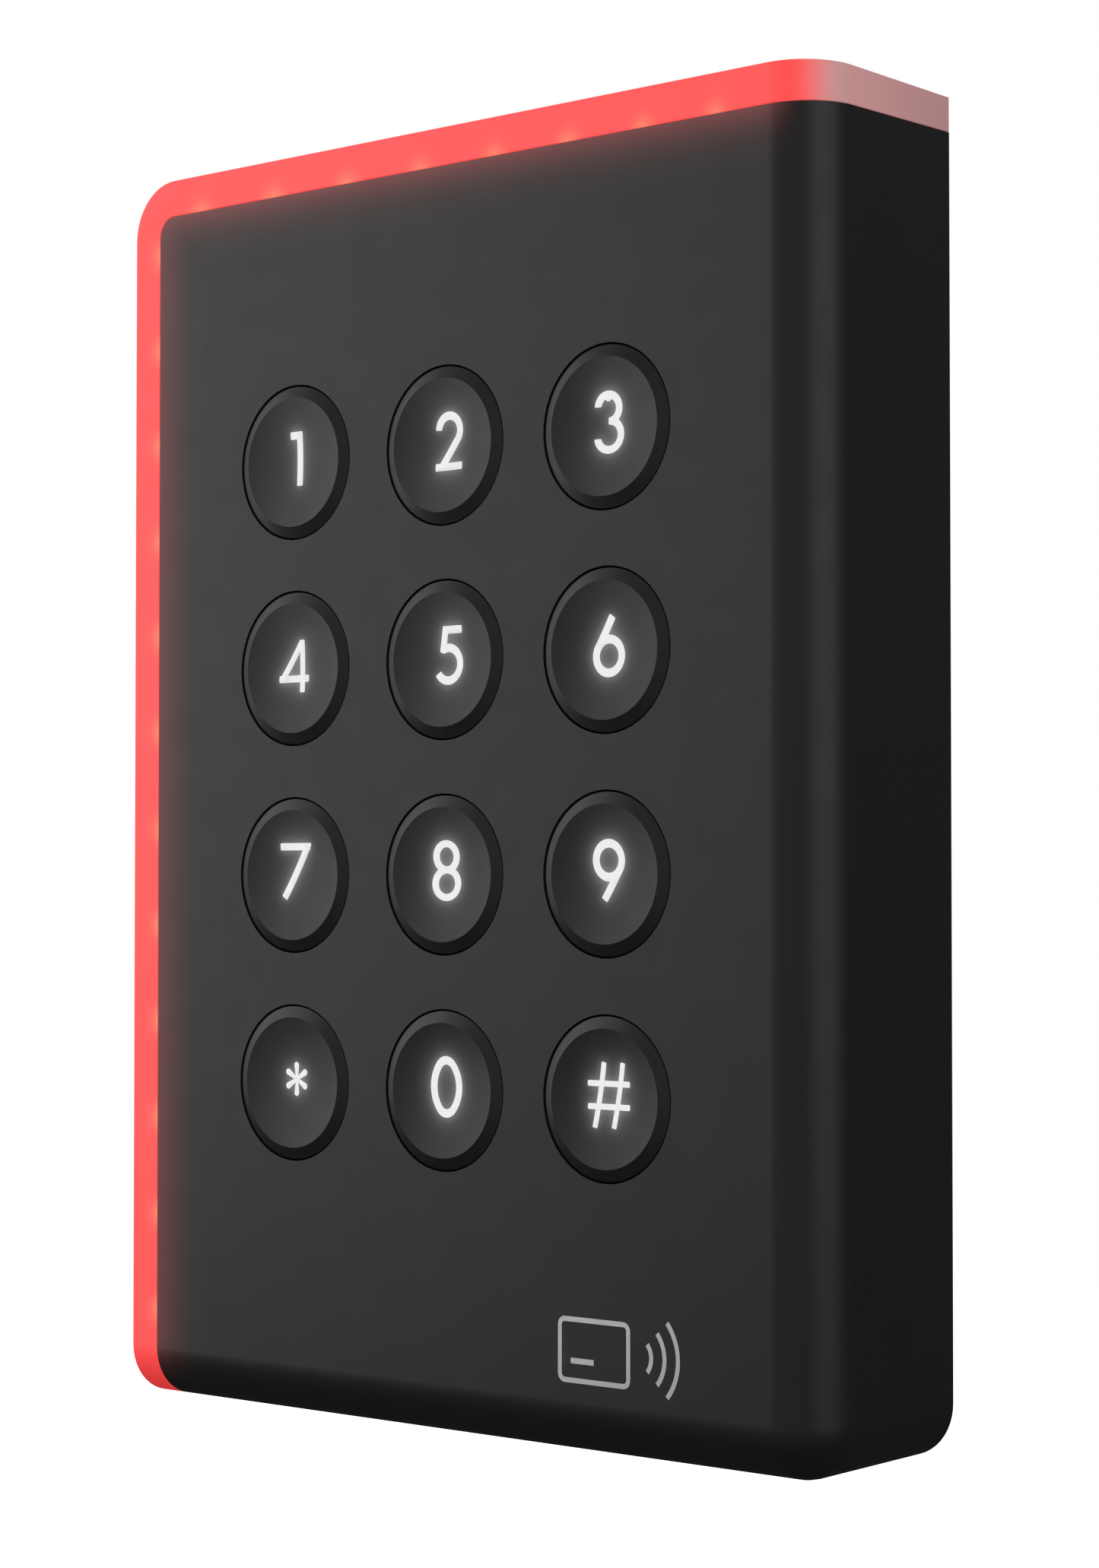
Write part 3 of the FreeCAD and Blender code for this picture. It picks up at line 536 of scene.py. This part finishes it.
def tidy_mesh(mesh, gap, sharp_degrees):
    """Closes poles and seams, drops buried faces, turns the rest outwards and marks the sharp edges."""
    work = bmesh.new()
    work.from_mesh(mesh)
    bmesh.ops.remove_doubles(work, verts=work.verts, dist=gap)
    bmesh.ops.dissolve_degenerate(work, dist=gap * 0.1, edges=work.edges)
    buried = [face for face in work.faces if all(len(edge.link_faces) > 2 for edge in face.edges)]
    bmesh.ops.delete(work, geom=buried, context="FACES_ONLY")
    bmesh.ops.recalc_face_normals(work, faces=work.faces)
    work.to_mesh(mesh)
    work.free()
    mesh.shade_smooth()
    mesh.set_sharp_from_angle(angle=math.radians(sharp_degrees))


def turned_on_axis(g, section, steps):
    """A section turned about the Y axis at a place named Middle, from millimetres."""
    spindle = g.add("GeometryNodeCurvePrimitiveCircle", {"Resolution": steps, "Radius": 0.001})
    turned = g.add("GeometryNodeCurveToMesh", {"Curve": spindle, "Profile Curve": section})
    middle = g.size("Middle", (0.0, 0.0, 0.0), "NodeSocketVector")
    return g.moved(turned, Translation=middle, Rotation=(math.pi / 2, 0.0, 0.0), Scale=(MM, MM, MM))


def turned_key_tree():
    """A key turned about its own axis: dish, flat bevel, barrel, flange and stem, in millimetres."""
    g = Grower("turned_key")
    round_steps = g.size("Round steps", 160, "NodeSocketInt")
    dish_steps = g.size("Dish steps", 44, "NodeSocketInt")
    key_r = g.size("Key radius", KEY_R)
    rim_r = g.size("Rim radius", RIM_R)
    rim = g.size("Rim front", RIM_FRONT)
    outer = g.size("Barrel front", OUTER_FRONT)
    depth = g.size("Dish depth", DISH_DEPTH)
    flange_r = g.size("Flange radius", FLANGE_R)
    flange_front = g.size("Flange front", FLANGE_FRONT)
    flange_back = g.size("Flange back", FLANGE_BACK)
    stem_r = g.size("Stem radius", STEM_R)
    stem_end = g.size("Stem end", STEM_END)

    bottom = g.math("ADD", rim, depth)
    halfway = g.math("MULTIPLY", rim_r, 0.5)
    dip = g.math("ADD", rim, g.math("MULTIPLY", depth, DISH_DIP))
    dish = g.add("GeometryNodeCurveArc", {
        "Resolution": dish_steps, "Start": g.point(0.0, bottom), "Middle": g.point(halfway, dip),
        "End": g.point(rim_r, rim)}, mode="POINTS")
    lines = g.lines([
        g.point(rim_r, rim), g.point(key_r, outer), g.point(key_r, flange_front),
        g.point(flange_r, flange_front), g.point(flange_r, flange_back), g.point(stem_r, flange_back),
        g.point(stem_r, stem_end), g.point(0.0, stem_end)])
    g.finish(turned_on_axis(g, g.joined(dish, *lines), round_steps), FINISHES["key_black"])
    return g


def turned_dome_tree():
    """A rubber dome turned about its own axis, hollow underneath, in millimetres."""
    g = Grower("turned_dome")
    foot_r, crown_r, skin = g.size("Foot radius", 5.5), g.size("Crown radius", 3.4), g.size("Skin", 0.8)
    crown, sheet, board = g.size("Crown", -13.92), g.size("Sheet front", -12.0), g.size("Board", -11.0)
    roof = g.math("ADD", crown, skin)
    lines = g.lines([
        g.point(0.0, crown), g.point(crown_r, crown), g.point(foot_r, sheet), g.point(foot_r, board),
        g.point(g.math("SUBTRACT", foot_r, skin), board), g.point(g.math("SUBTRACT", crown_r, skin), roof),
        g.point(0.0, roof)])
    g.finish(turned_on_axis(g, g.joined(*lines), 72), FINISHES["silicone_mat"])
    return g


def painted_sign_light(node, middle):
    """Painted glow of a lit sign on the shell round it, as a blurred mask of its front face."""
    step, half = SIGN_GRID_STEP, SIGN_GRID_HALF
    count = int(2 * half / step) + 1
    lit = np.zeros((count, count))
    mesh = frame["nodes"][node].data
    mesh.calc_loop_triangles()
    spots = np.array([v.co for v in mesh.vertices]) / MM
    u = (spots[:, 0] - middle.x / MM + half) / step
    v = (spots[:, 2] - middle.z / MM + half) / step
    for tri in mesh.loop_triangles:
        a, b, c = tri.vertices
        if tri.normal.y > -0.5 or spots[[a, b, c], 1].mean() > RIM_FRONT + DISH_DEPTH + 0.1:
            continue
        fill_triangle(lit, (u[a], v[a]), (u[b], v[b]), (u[c], v[c]))
    close = blurred(lit, SIGN_BLUR_CLOSE / step) * SIGN_GLOW_CLOSE
    wide = blurred(lit, SIGN_BLUR_WIDE / step) * SIGN_GLOW_WIDE
    return close + wide


def fill_triangle(grid, a, b, c):
    low_u, high_u = int(min(a[0], b[0], c[0])), int(max(a[0], b[0], c[0])) + 2
    low_v, high_v = int(min(a[1], b[1], c[1])), int(max(a[1], b[1], c[1])) + 2
    area = (b[0] - a[0]) * (c[1] - a[1]) - (c[0] - a[0]) * (b[1] - a[1])
    if abs(area) < 1e-9:
        return
    u, v = np.meshgrid(np.arange(low_u, high_u), np.arange(low_v, high_v), indexing="ij")
    p = ((b[0] - u) * (c[1] - v) - (c[0] - u) * (b[1] - v)) / area
    q = ((c[0] - u) * (a[1] - v) - (a[0] - u) * (c[1] - v)) / area
    inside = (p >= -1e-6) & (q >= -1e-6) & (p + q <= 1 + 1e-6)
    grid[low_u:high_u, low_v:high_v][inside] = 1.0


def blurred(grid, sigma):
    reach = int(sigma * 3.5) + 1
    taps = np.exp(-np.arange(-reach, reach + 1) ** 2 / (2 * sigma ** 2))
    taps /= taps.sum()
    rows = np.apply_along_axis(lambda line: np.convolve(line, taps, "same"), 0, grid)
    return np.apply_along_axis(lambda line: np.convolve(line, taps, "same"), 1, rows)


def read_grid(grid, u, v):
    """Values between the grid's points."""
    u = np.clip(u, 0, grid.shape[0] - 1.001)
    v = np.clip(v, 0, grid.shape[1] - 1.001)
    i, j = u.astype(int), v.astype(int)
    s, t = u - i, v - j
    return (grid[i, j] * (1 - s) * (1 - t) + grid[i + 1, j] * s * (1 - t)
            + grid[i, j + 1] * (1 - s) * t + grid[i + 1, j + 1] * s * t)


def row_points(g, count, place):
    """Points 0 to count - 1, each at the place worked out from its number."""
    number = g.add("GeometryNodeInputIndex")
    points = g.add("GeometryNodePoints", {"Count": count})
    return g.add("GeometryNodeSetPosition", {"Geometry": points, "Position": place(number)})


def lamp_row_tree():
    """A row of small lamps with domed lenses, whose steps may shrink along the row."""
    g = Grower("lamp_row")
    first, step, closing = g.size("First", 0.0), g.size("Step", 0.01), g.size("Closing", 0.0)
    length, width, rise = g.size("Length", 2.8 * MM), g.size("Width", 1.4 * MM), g.size("Rise", 1.2 * MM)
    foot = g.size("Foot", (0.0, 0.0, 0.0), "NodeSocketVector")
    along = g.size("Along", (1.0, 0.0, 0.0), "NodeSocketVector")
    turn = g.size("Turn", (0.0, 0.0, 0.0), "NodeSocketVector")

    def place(number):
        pairs = g.math("MULTIPLY", g.math("MULTIPLY", number, g.math("SUBTRACT", number, 1.0)), 0.5)
        even = g.math("MULTIPLY", number, step)
        run = g.math("ADD", first, g.math("SUBTRACT", even, g.math("MULTIPLY", pairs, closing)))
        shift = g.add("ShaderNodeVectorMath", {0: along, "Scale": run}, operation="SCALE")
        return g.add("ShaderNodeVectorMath", {0: foot, 1: shift}, operation="ADD")

    case_rise = g.math("MULTIPLY", rise, 0.6)
    case = g.add("GeometryNodeMeshCube", {"Size": g.point(length, width, case_rise)})
    case = g.moved(case, Translation=g.point(0.0, 0.0, g.math("MULTIPLY", case_rise, 0.5)))
    lens = g.add("GeometryNodeMeshUVSphere", {"Segments": 20, "Rings": 12, "Radius": 1.0})
    half_length, half_width = g.math("MULTIPLY", length, 0.40), g.math("MULTIPLY", width, 0.42)
    lens = g.moved(lens, Translation=g.point(0.0, 0.0, case_rise),
                   Scale=g.point(half_length, half_width, g.math("MULTIPLY", rise, 0.4)))
    points = row_points(g, g.size("Lamps", 8, "NodeSocketInt"), place)
    lamps = g.add("GeometryNodeInstanceOnPoints", {
        "Points": points, "Instance": g.joined(case, lens), "Rotation": turn})
    g.finish(lamps, FINISHES["red_lamps"])
    return g


def pin_row_tree():
    """Square pins with pointed ends, side by side."""
    g = Grower("pin_row")
    pitch, thick = g.size("Pitch", 3 * MM), g.size("Thickness", 0.6 * MM)
    root, end = g.size("Root", -9.4 * MM), g.size("End", -3.6 * MM)
    height = g.size("Height", 0.0)
    count = g.size("Pins", 8, "NodeSocketInt")
    point_l = g.math("MULTIPLY", thick, 1.2)
    shaft_l = g.math("SUBTRACT", g.math("SUBTRACT", end, root), point_l)

    def place(number):
        middle = g.math("MULTIPLY", g.math("SUBTRACT", count, 1.0), 0.5)
        return g.point(g.math("MULTIPLY", g.math("SUBTRACT", number, middle), pitch), root, height)

    shaft = g.add("GeometryNodeMeshCube", {"Size": g.point(thick, shaft_l, thick)})
    shaft = g.moved(shaft, Translation=g.point(0.0, g.math("MULTIPLY", shaft_l, 0.5), 0.0))
    corner = g.math("MULTIPLY", thick, math.sqrt(0.5))
    tip = g.add("GeometryNodeMeshCone", {
        "Vertices": 4, "Radius Top": g.math("MULTIPLY", corner, 0.35), "Radius Bottom": corner,
        "Depth": point_l})
    tip = g.moved(tip, Rotation=(0.0, 0.0, math.pi / 4))
    tip = g.moved(tip, Translation=g.point(0.0, shaft_l, 0.0), Rotation=(-math.pi / 2, 0.0, 0.0))
    pins = g.add("GeometryNodeInstanceOnPoints", {
        "Points": row_points(g, count, place), "Instance": g.joined(shaft, tip)})
    g.finish(pins, FINISHES["pin_metal"])
    return g


def key_field_tree(name, finish):
    """One small round or square piece behind each key, on the keys' own grid."""
    g = Grower(name)
    columns, pitch = g.size("Columns", 3, "NodeSocketInt"), g.size("Pitch", KEY_PITCH)
    left, top = g.size("Left", -KEY_PITCH), g.size("Top", 0.0)
    front, thick = g.size("Front", 0.0), g.size("Thickness", 1 * MM)
    radius, sides = g.size("Radius", 1 * MM), g.size("Sides", 40, "NodeSocketInt")
    shrink, twist = g.size("Upright share", 1.0), g.size("Twist", 0.0)

    def place(number):
        row = g.math("FLOOR", g.math("DIVIDE", number, columns))
        column = g.math("SUBTRACT", number, g.math("MULTIPLY", row, columns))
        return g.point(g.math("ADD", left, g.math("MULTIPLY", column, pitch)), front,
                       g.math("SUBTRACT", top, g.math("MULTIPLY", row, pitch)))

    ease = g.math("MULTIPLY", thick, 0.15)
    straight = g.math("SUBTRACT", thick, ease)
    body = g.add("GeometryNodeMeshCone", {
        "Vertices": sides, "Radius Top": radius, "Radius Bottom": radius, "Depth": straight})
    brow = g.add("GeometryNodeMeshCone", {
        "Vertices": sides, "Radius Top": g.math("SUBTRACT", radius, ease), "Radius Bottom": radius,
        "Depth": ease})
    brow = g.moved(brow, Translation=g.point(0.0, 0.0, straight))
    piece = g.moved(g.joined(body, brow), Rotation=g.point(0.0, 0.0, twist))
    piece = g.moved(piece, Translation=g.point(0.0, thick, 0.0), Rotation=(math.pi / 2, 0.0, 0.0))
    piece = g.moved(piece, Scale=g.point(1.0, 1.0, shrink))
    pieces = g.add("GeometryNodeInstanceOnPoints", {
        "Points": row_points(g, g.size("Pieces", len(KEYS), "NodeSocketInt"), place), "Instance": piece})
    g.finish(pieces, FINISHES[finish])
    return g


def wound_coil_tree():
    """Turns of enamelled wire laid side by side in layers, each loop a rounded rectangle."""
    g = Grower("wound_coil")
    wide, high = g.size("Width", 66 * MM), g.size("Height", 90 * MM)
    wire, corner = g.size("Wire", 0.25 * MM), g.size("Corner", 4 * MM)
    across, layers = g.size("Turns across", 10, "NodeSocketInt"), g.size("Layers", 3, "NodeSocketInt")
    front = g.size("Front", 0.0)
    turns = g.math("MULTIPLY", across, layers)
    number = g.add("GeometryNodeInputIndex")
    layer = g.math("FLOOR", g.math("DIVIDE", number, across))
    inward = g.math("MULTIPLY", g.math("SUBTRACT", number, g.math("MULTIPLY", layer, across)), wire)
    half_x = g.math("SUBTRACT", g.math("MULTIPLY", g.math("SUBTRACT", wide, wire), 0.5), inward)
    half_z = g.math("SUBTRACT", g.math("MULTIPLY", g.math("SUBTRACT", high, wire), 0.5), inward)
    loop = g.add("GeometryNodeCurvePrimitiveQuadrilateral", {"Width": 2.0, "Height": 2.0})
    flat = g.add("GeometryNodePoints", {"Count": turns})
    depth = g.math("ADD", front, g.math("MULTIPLY", g.math("ADD", layer, 0.5), wire))
    flat = g.add("GeometryNodeSetPosition", {"Geometry": flat, "Position": g.point(0.0, depth, 0.0)})
    loops = g.add("GeometryNodeInstanceOnPoints", {
        "Points": flat, "Instance": loop, "Rotation": g.point(math.pi / 2, 0.0, 0.0),
        "Scale": g.point(half_x, half_z, 1.0)})
    paths = g.add("GeometryNodeRealizeInstances", {0: loops})
    paths = g.rounded(paths, corner)
    wire_r = g.math("MULTIPLY", wire, 0.47)
    section = g.add("GeometryNodeCurvePrimitiveCircle", {"Resolution": 8, "Radius": wire_r})
    wound = g.add("GeometryNodeCurveToMesh", {"Curve": paths, "Profile Curve": section})
    g.finish(wound, FINISHES["copper_coil"])
    return g


def case_screw_tree():
    """Turned screws with a round recess and a rolled thread, one at each corner post."""
    g = Grower("case_screw")
    head_r, core_r = g.size("Head radius", 2.2), g.size("Core radius", 0.86)
    thread_r, pitch = g.size("Thread radius", 1.08), g.size("Thread pitch", 0.8)
    head, seat, end = g.size("Head face", -3.6), g.size("Seat", -5.45), g.size("End", -16.0)
    floor, recess = g.size("Recess floor", -4.6), g.size("Recess radius", 1.0)
    ease = g.size("Eased edge", 0.25)
    tip_l = g.size("Tip length", 1.0)
    neck = g.math("SUBTRACT", head_r, ease)
    lines = g.lines([
        g.point(0.0, floor), g.point(recess, floor), g.point(recess, head), g.point(neck, head),
        g.point(head_r, g.math("SUBTRACT", head, ease)), g.point(head_r, seat), g.point(core_r, seat),
        g.point(core_r, g.math("ADD", end, tip_l)), g.point(0.0, end)])
    spindle = g.add("GeometryNodeCurvePrimitiveCircle", {"Resolution": 48, "Radius": 0.001})
    turned = g.add("GeometryNodeCurveToMesh", {"Curve": spindle, "Profile Curve": g.joined(*lines)})
    turned = g.moved(turned, Rotation=(math.pi / 2, 0.0, 0.0))
    run = g.math("SUBTRACT", g.math("SUBTRACT", seat, end), g.math("MULTIPLY", tip_l, 1.5))
    middle_r = g.math("MULTIPLY", g.math("ADD", core_r, thread_r), 0.5)
    helix = g.add("GeometryNodeCurveSpiral", {
        "Resolution": 24, "Rotations": g.math("DIVIDE", run, pitch), "Start Radius": middle_r,
        "End Radius": middle_r, "Height": run})
    ridge = g.add("GeometryNodeCurvePrimitiveCircle", {
        "Resolution": 3, "Radius": g.math("MULTIPLY", g.math("SUBTRACT", thread_r, core_r), 0.5)})
    thread = g.add("GeometryNodeCurveToMesh", {"Curve": helix, "Profile Curve": ridge, "Fill Caps": True})
    thread_start = g.math("SUBTRACT", seat, 0.2)
    thread = g.moved(thread, Translation=g.point(0.0, thread_start, 0.0), Rotation=(math.pi / 2, 0.0, 0.0))
    wide, high = g.size("Across", 68.0), g.size("Upright", 101.0)
    middle_x, middle_z = g.size("Middle across", 1.5), g.size("Middle up", -1.5)

    def place(number):
        upper = g.math("FLOOR", g.math("DIVIDE", number, 2.0))
        right = g.math("SUBTRACT", number, g.math("MULTIPLY", upper, 2.0))
        x = g.math("ADD", middle_x, g.math("MULTIPLY", g.math("SUBTRACT", right, 0.5), wide))
        z = g.math("ADD", middle_z, g.math("MULTIPLY", g.math("SUBTRACT", upper, 0.5), high))
        return g.point(x, 0.0, z)

    points = row_points(g, g.size("Screws", 4, "NodeSocketInt"), place)
    screws = g.add("GeometryNodeInstanceOnPoints", {"Points": points, "Instance": g.joined(turned, thread)})
    sized = g.moved(screws, Scale=(MM, MM, MM))
    g.finish(sized, FINISHES["screw_steel"])
    return g


def grown_piece(name, mesh, node, gap, sharp=30):
    mesh.name = name
    tidy_mesh(mesh, gap, sharp)
    return new_piece(name, mesh, SLOT_OF[node], body_of_node(node), node)


def make_repeats():
    lamps = lamp_row_tree()
    top_low, top_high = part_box("top_edge_lights")
    side_low, side_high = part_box("left_edge_lights")
    lamp_y = (top_low.y + top_high.y) / 2
    row = lamps.grow(Lamps=TOP_LAMPS, First=TOP_LAMP_FIRST, Step=TOP_LAMP_STEP, Closing=TOP_LAMP_CLOSING,
                     Foot=(0.0, lamp_y, top_low.z))
    grown_piece("top_lamp_row", row, "top_edge_lights", CLOSE_GAP)
    row = lamps.grow(Lamps=SIDE_LAMPS, First=SIDE_LAMP_FIRST, Step=SIDE_LAMP_PITCH,
                     Foot=(side_high.x, lamp_y, 0.0), Along=(0.0, 0.0, 1.0), Turn=(0.0, -math.pi / 2, 0.0))
    grown_piece("side_lamp_row", row, "left_edge_lights", CLOSE_GAP)

    low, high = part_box("socket_pins")
    pins = pin_row_tree().grow(Root=low.y, End=high.y, Thickness=high.z - low.z, Height=(low.z + high.z) / 2)
    grown_piece("pointed_pins", pins, "socket_pins", CLOSE_GAP)

    low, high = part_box("key_backlights")
    half_x = (high.x - low.x) / 2 - KEY_PITCH
    half_z = (high.z - low.z - 3 * KEY_PITCH) / 2
    lights = key_field_tree("lamp_field", "white_lamps").grow(
        Top=high.z - half_z, Front=low.y, Thickness=high.y - low.y, Sides=4, Radius=half_x * math.sqrt(2),
        Upright_share=half_z / half_x, Twist=math.pi / 4)
    grown_piece("key_lamp_set", lights, "key_backlights", CLOSE_GAP)

    low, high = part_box("antenna_coil")
    coil = wound_coil_tree().grow(Width=high.x - low.x, Height=high.z - low.z, Front=low.y)
    grown_piece("wound_antenna", coil, "antenna_coil", FINE_GAP)
    grown_piece("threaded_case_screws", case_screw_tree().grow(), "case_screws", 0.003 * MM, 28)


def make_keys():
    tree = turned_key_tree()
    for key in KEYS:
        low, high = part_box(f"key_cap_{key}")
        middle = (low + high) / 2
        mesh = tree.grow(Middle=(middle.x, 0.0, middle.z))
        mesh.name = f"dished_key_{key}"
        tidy_mesh(mesh, 0.004 * MM, 14)
        # Painted light: the sign's blurred glow, stored on the dish's points for the shell's emission.
        light = painted_sign_light(f"key_legend_{key}", middle)
        spots = np.array([v.co for v in mesh.vertices]) / MM
        on_top = spots[:, 1] < RIM_FRONT + DISH_DEPTH + 0.05
        u = (spots[:, 0] - middle.x / MM + SIGN_GRID_HALF) / SIGN_GRID_STEP
        v = (spots[:, 2] - middle.z / MM + SIGN_GRID_HALF) / SIGN_GRID_STEP
        value = read_grid(light, u, v) * on_top
        halo = mesh.attributes.new("painted_sign_glow", "FLOAT", "POINT")
        halo.data.foreach_set("value", value.astype(np.float32))
        new_piece(f"dished_key_{key}", mesh, "key_black", f"key_{key}", f"key_cap_{key}")


def holed_sheet(middles):
    """The mat's flat sheet, with a round hole where each dome stands."""
    mesh = merged_copy("keypad_mat")
    sheet = bpy.data.objects.new("sheet", mesh)
    punches = bpy.data.meshes.new("punches")
    work = bmesh.new()
    for middle in middles:
        place = Matrix.Translation((middle.x, -12.5 * MM, middle.z)) @ Matrix.Rotation(math.pi / 2, 4, "X")
        bmesh.ops.create_cone(work, cap_ends=True, segments=72, radius1=HOLE_R, radius2=HOLE_R,
                              depth=6 * MM, matrix=place)
    bmesh.ops.recalc_face_normals(work, faces=work.faces)
    work.to_mesh(punches)
    work.free()
    punch = bpy.data.objects.new("punch", punches)
    for obj in (sheet, punch):
        bpy.context.scene.collection.objects.link(obj)
    holes = sheet.modifiers.new("holes", "BOOLEAN")
    holes.object = punch
    holes.operation = "DIFFERENCE"
    holes.solver = "EXACT"
    graph = bpy.context.evaluated_depsgraph_get()
    result = bpy.data.meshes.new_from_object(sheet.evaluated_get(graph), depsgraph=graph)
    for obj in (sheet, punch):
        bpy.data.objects.remove(obj)
    return result


def make_mat():
    """The sheet, and a dome and its pill under each key, each piece with a mesh of its own."""
    middles = {key: sum(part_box(f"key_cap_{key}"), Vector()) / 2 for key in KEYS}
    grown_piece("silicone_sheet", holed_sheet(middles.values()), "keypad_mat", 0.001 * MM)
    domes, pills = turned_dome_tree(), key_field_tree("pill_field", "carbon_pills")
    low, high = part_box("contact_pills")
    pill_r = (high.x - low.x) / 2 - KEY_PITCH
    for key, middle in middles.items():
        dome = domes.grow(Middle=(middle.x, 0.0, middle.z))
        pill = pills.grow(Pieces=1, Left=middle.x, Top=middle.z, Front=low.y, Thickness=high.y - low.y,
                          Radius=pill_r)
        soft = (grown_piece(f"rubber_dome_{key}", dome, "keypad_mat", CLOSE_GAP),
                grown_piece(f"carbon_pill_{key}", pill, "contact_pills", CLOSE_GAP))
        for piece in soft:
            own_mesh(piece)


# Scene

def look_along(azimuth, pitch):
    level = math.cos(pitch)
    return Vector((-math.sin(azimuth) * level, math.cos(azimuth) * level, math.sin(pitch)))


def make_camera():
    data = bpy.data.cameras.new("camera")
    data.lens = CAMERA_LENS
    data.sensor_width = 36.0
    data.sensor_fit = "AUTO"
    data.clip_start = 0.01
    data.clip_end = 20.0
    camera = bpy.data.objects.new("camera", data)
    bpy.context.scene.collection.objects.link(camera)
    camera.location = CAMERA_PLACE
    ahead = look_along(math.radians(CAMERA_AZIMUTH), math.radians(CAMERA_PITCH))
    camera.rotation_mode = "QUATERNION"
    camera.rotation_quaternion = ahead.to_track_quat("-Z", "Y")
    bpy.context.scene.camera = camera


def area_light(name, azimuth, elevation, distance, width, height, power):
    """A soft box that looks at the reader. Azimuth 0 is in front of it, 90 to its right."""
    data = bpy.data.lights.new(name, "AREA")
    data.shape = "RECTANGLE"
    data.size = width
    data.size_y = height
    data.energy = power
    light = bpy.data.objects.new(name, data)
    bpy.context.scene.collection.objects.link(light)
    a, e = math.radians(azimuth), math.radians(elevation)
    away = Vector((math.sin(a) * math.cos(e), -math.cos(a) * math.cos(e), math.sin(e)))
    light.location = away * distance
    light.rotation_mode = "QUATERNION"
    light.rotation_quaternion = away.to_track_quat("Z", "Y")


def make_world():
    """White to the eye. As light and in reflections it is a dim grey, dimmer towards the floor."""
    world = bpy.data.worlds.new("studio")
    bpy.context.scene.world = world
    world.use_nodes = True
    nodes, links = world.node_tree.nodes, world.node_tree.links
    seen = nodes.new("ShaderNodeBackground")
    seen.inputs["Color"].default_value = (1.0, 1.0, 1.0, 1.0)
    lighting = nodes["Background"]
    lighting.inputs["Color"].default_value = (1.0, 1.0, 1.0, 1.0)
    split = nodes.new("ShaderNodeSeparateXYZ")
    links.new(nodes.new("ShaderNodeTexCoord").outputs["Generated"], split.inputs[0])
    height = nodes.new("ShaderNodeMapRange")
    links.new(split.outputs[2], height.inputs["Value"])
    height.interpolation_type = "SMOOTHSTEP"
    for socket, value in (("From Min", -0.35), ("From Max", 0.5), ("To Min", 0.035), ("To Max", 0.12)):
        height.inputs[socket].default_value = value
    links.new(height.outputs["Result"], lighting.inputs["Strength"])
    path = nodes.new("ShaderNodeLightPath")
    mix = nodes.new("ShaderNodeMixShader")
    links.new(path.outputs["Is Camera Ray"], mix.inputs[0])
    links.new(lighting.outputs[0], mix.inputs[1])
    links.new(seen.outputs[0], mix.inputs[2])
    links.new(mix.outputs[0], nodes["World Output"].inputs["Surface"])


def make_floor():
    mesh = bpy.data.meshes.new("floor")
    corners = [(x * FLOOR_HALF, y * FLOOR_HALF, FLOOR_Z) for x, y in ((-1, -1), (1, -1), (1, 1), (-1, 1))]
    mesh.from_pydata(corners, [], [(0, 1, 2, 3)])
    floor = bpy.data.objects.new("floor", mesh)
    bpy.context.scene.collection.objects.link(floor)
    f = Finish("pale_floor", (0.85, 0.85, 0.85), 0.9, 0.1)
    f.cloud(40 * MM, 0.01)
    f.glow((1.0, 1.0, 1.0), 0.9)
    mesh.materials.append(f.material)
    floor.visible_glossy = False
    floor.visible_diffuse = False


def make_lights():
    area_light("key", -58, 12, 0.9, 0.85, 0.75, 2.55)
    area_light("front_fill", 8, 4, 1.2, 1.2, 1.3, 1.2)
    area_light("right_strip", 74, 10, 0.9, 0.90, 0.60, 1.8)
    area_light("behind", -155, 45, 1.2, 0.9, 0.9, 9)


for node, obj in frame["nodes"].items():
    dress(obj, SLOT_OF[node])

eased_part("front_cover", "cover_shell")
eased_part("light_guide", "guide_bar", 0.10)
make_keys()
make_repeats()
make_mat()
for key in KEYS:
    eased_part(f"key_legend_{key}", f"lit_sign_{key}")
eased_part("card_mark", "silver_card_symbol")
eased_part("rear_base", "base_tray")
eased_part("mounting_plate", "pressed_wall_plate", 0.12)
eased_part("security_screw", "bottom_security_screw", 0.10)
eased_part("wiring_socket", "shrouded_socket", 0.12)
eased_part("main_board", "green_circuit_board", 0.05)
EASED = {
    "controller_chip": 0.12, "radio_chip": 0.10, "board_components": 0.10, "buzzer": 0.25,
    "tamper_switch": 0.15, "tamper_plunger": 0.12, "top_light_strip": 0.08, "left_light_strip": 0.08,
}
for node, ease in EASED.items():
    eased_part(node, f"finished_{node}", ease)
make_world()
make_floor()
make_lights()
make_camera()

scene = bpy.context.scene
scene.view_settings.view_transform = "Standard"
scene.view_settings.look = "None"
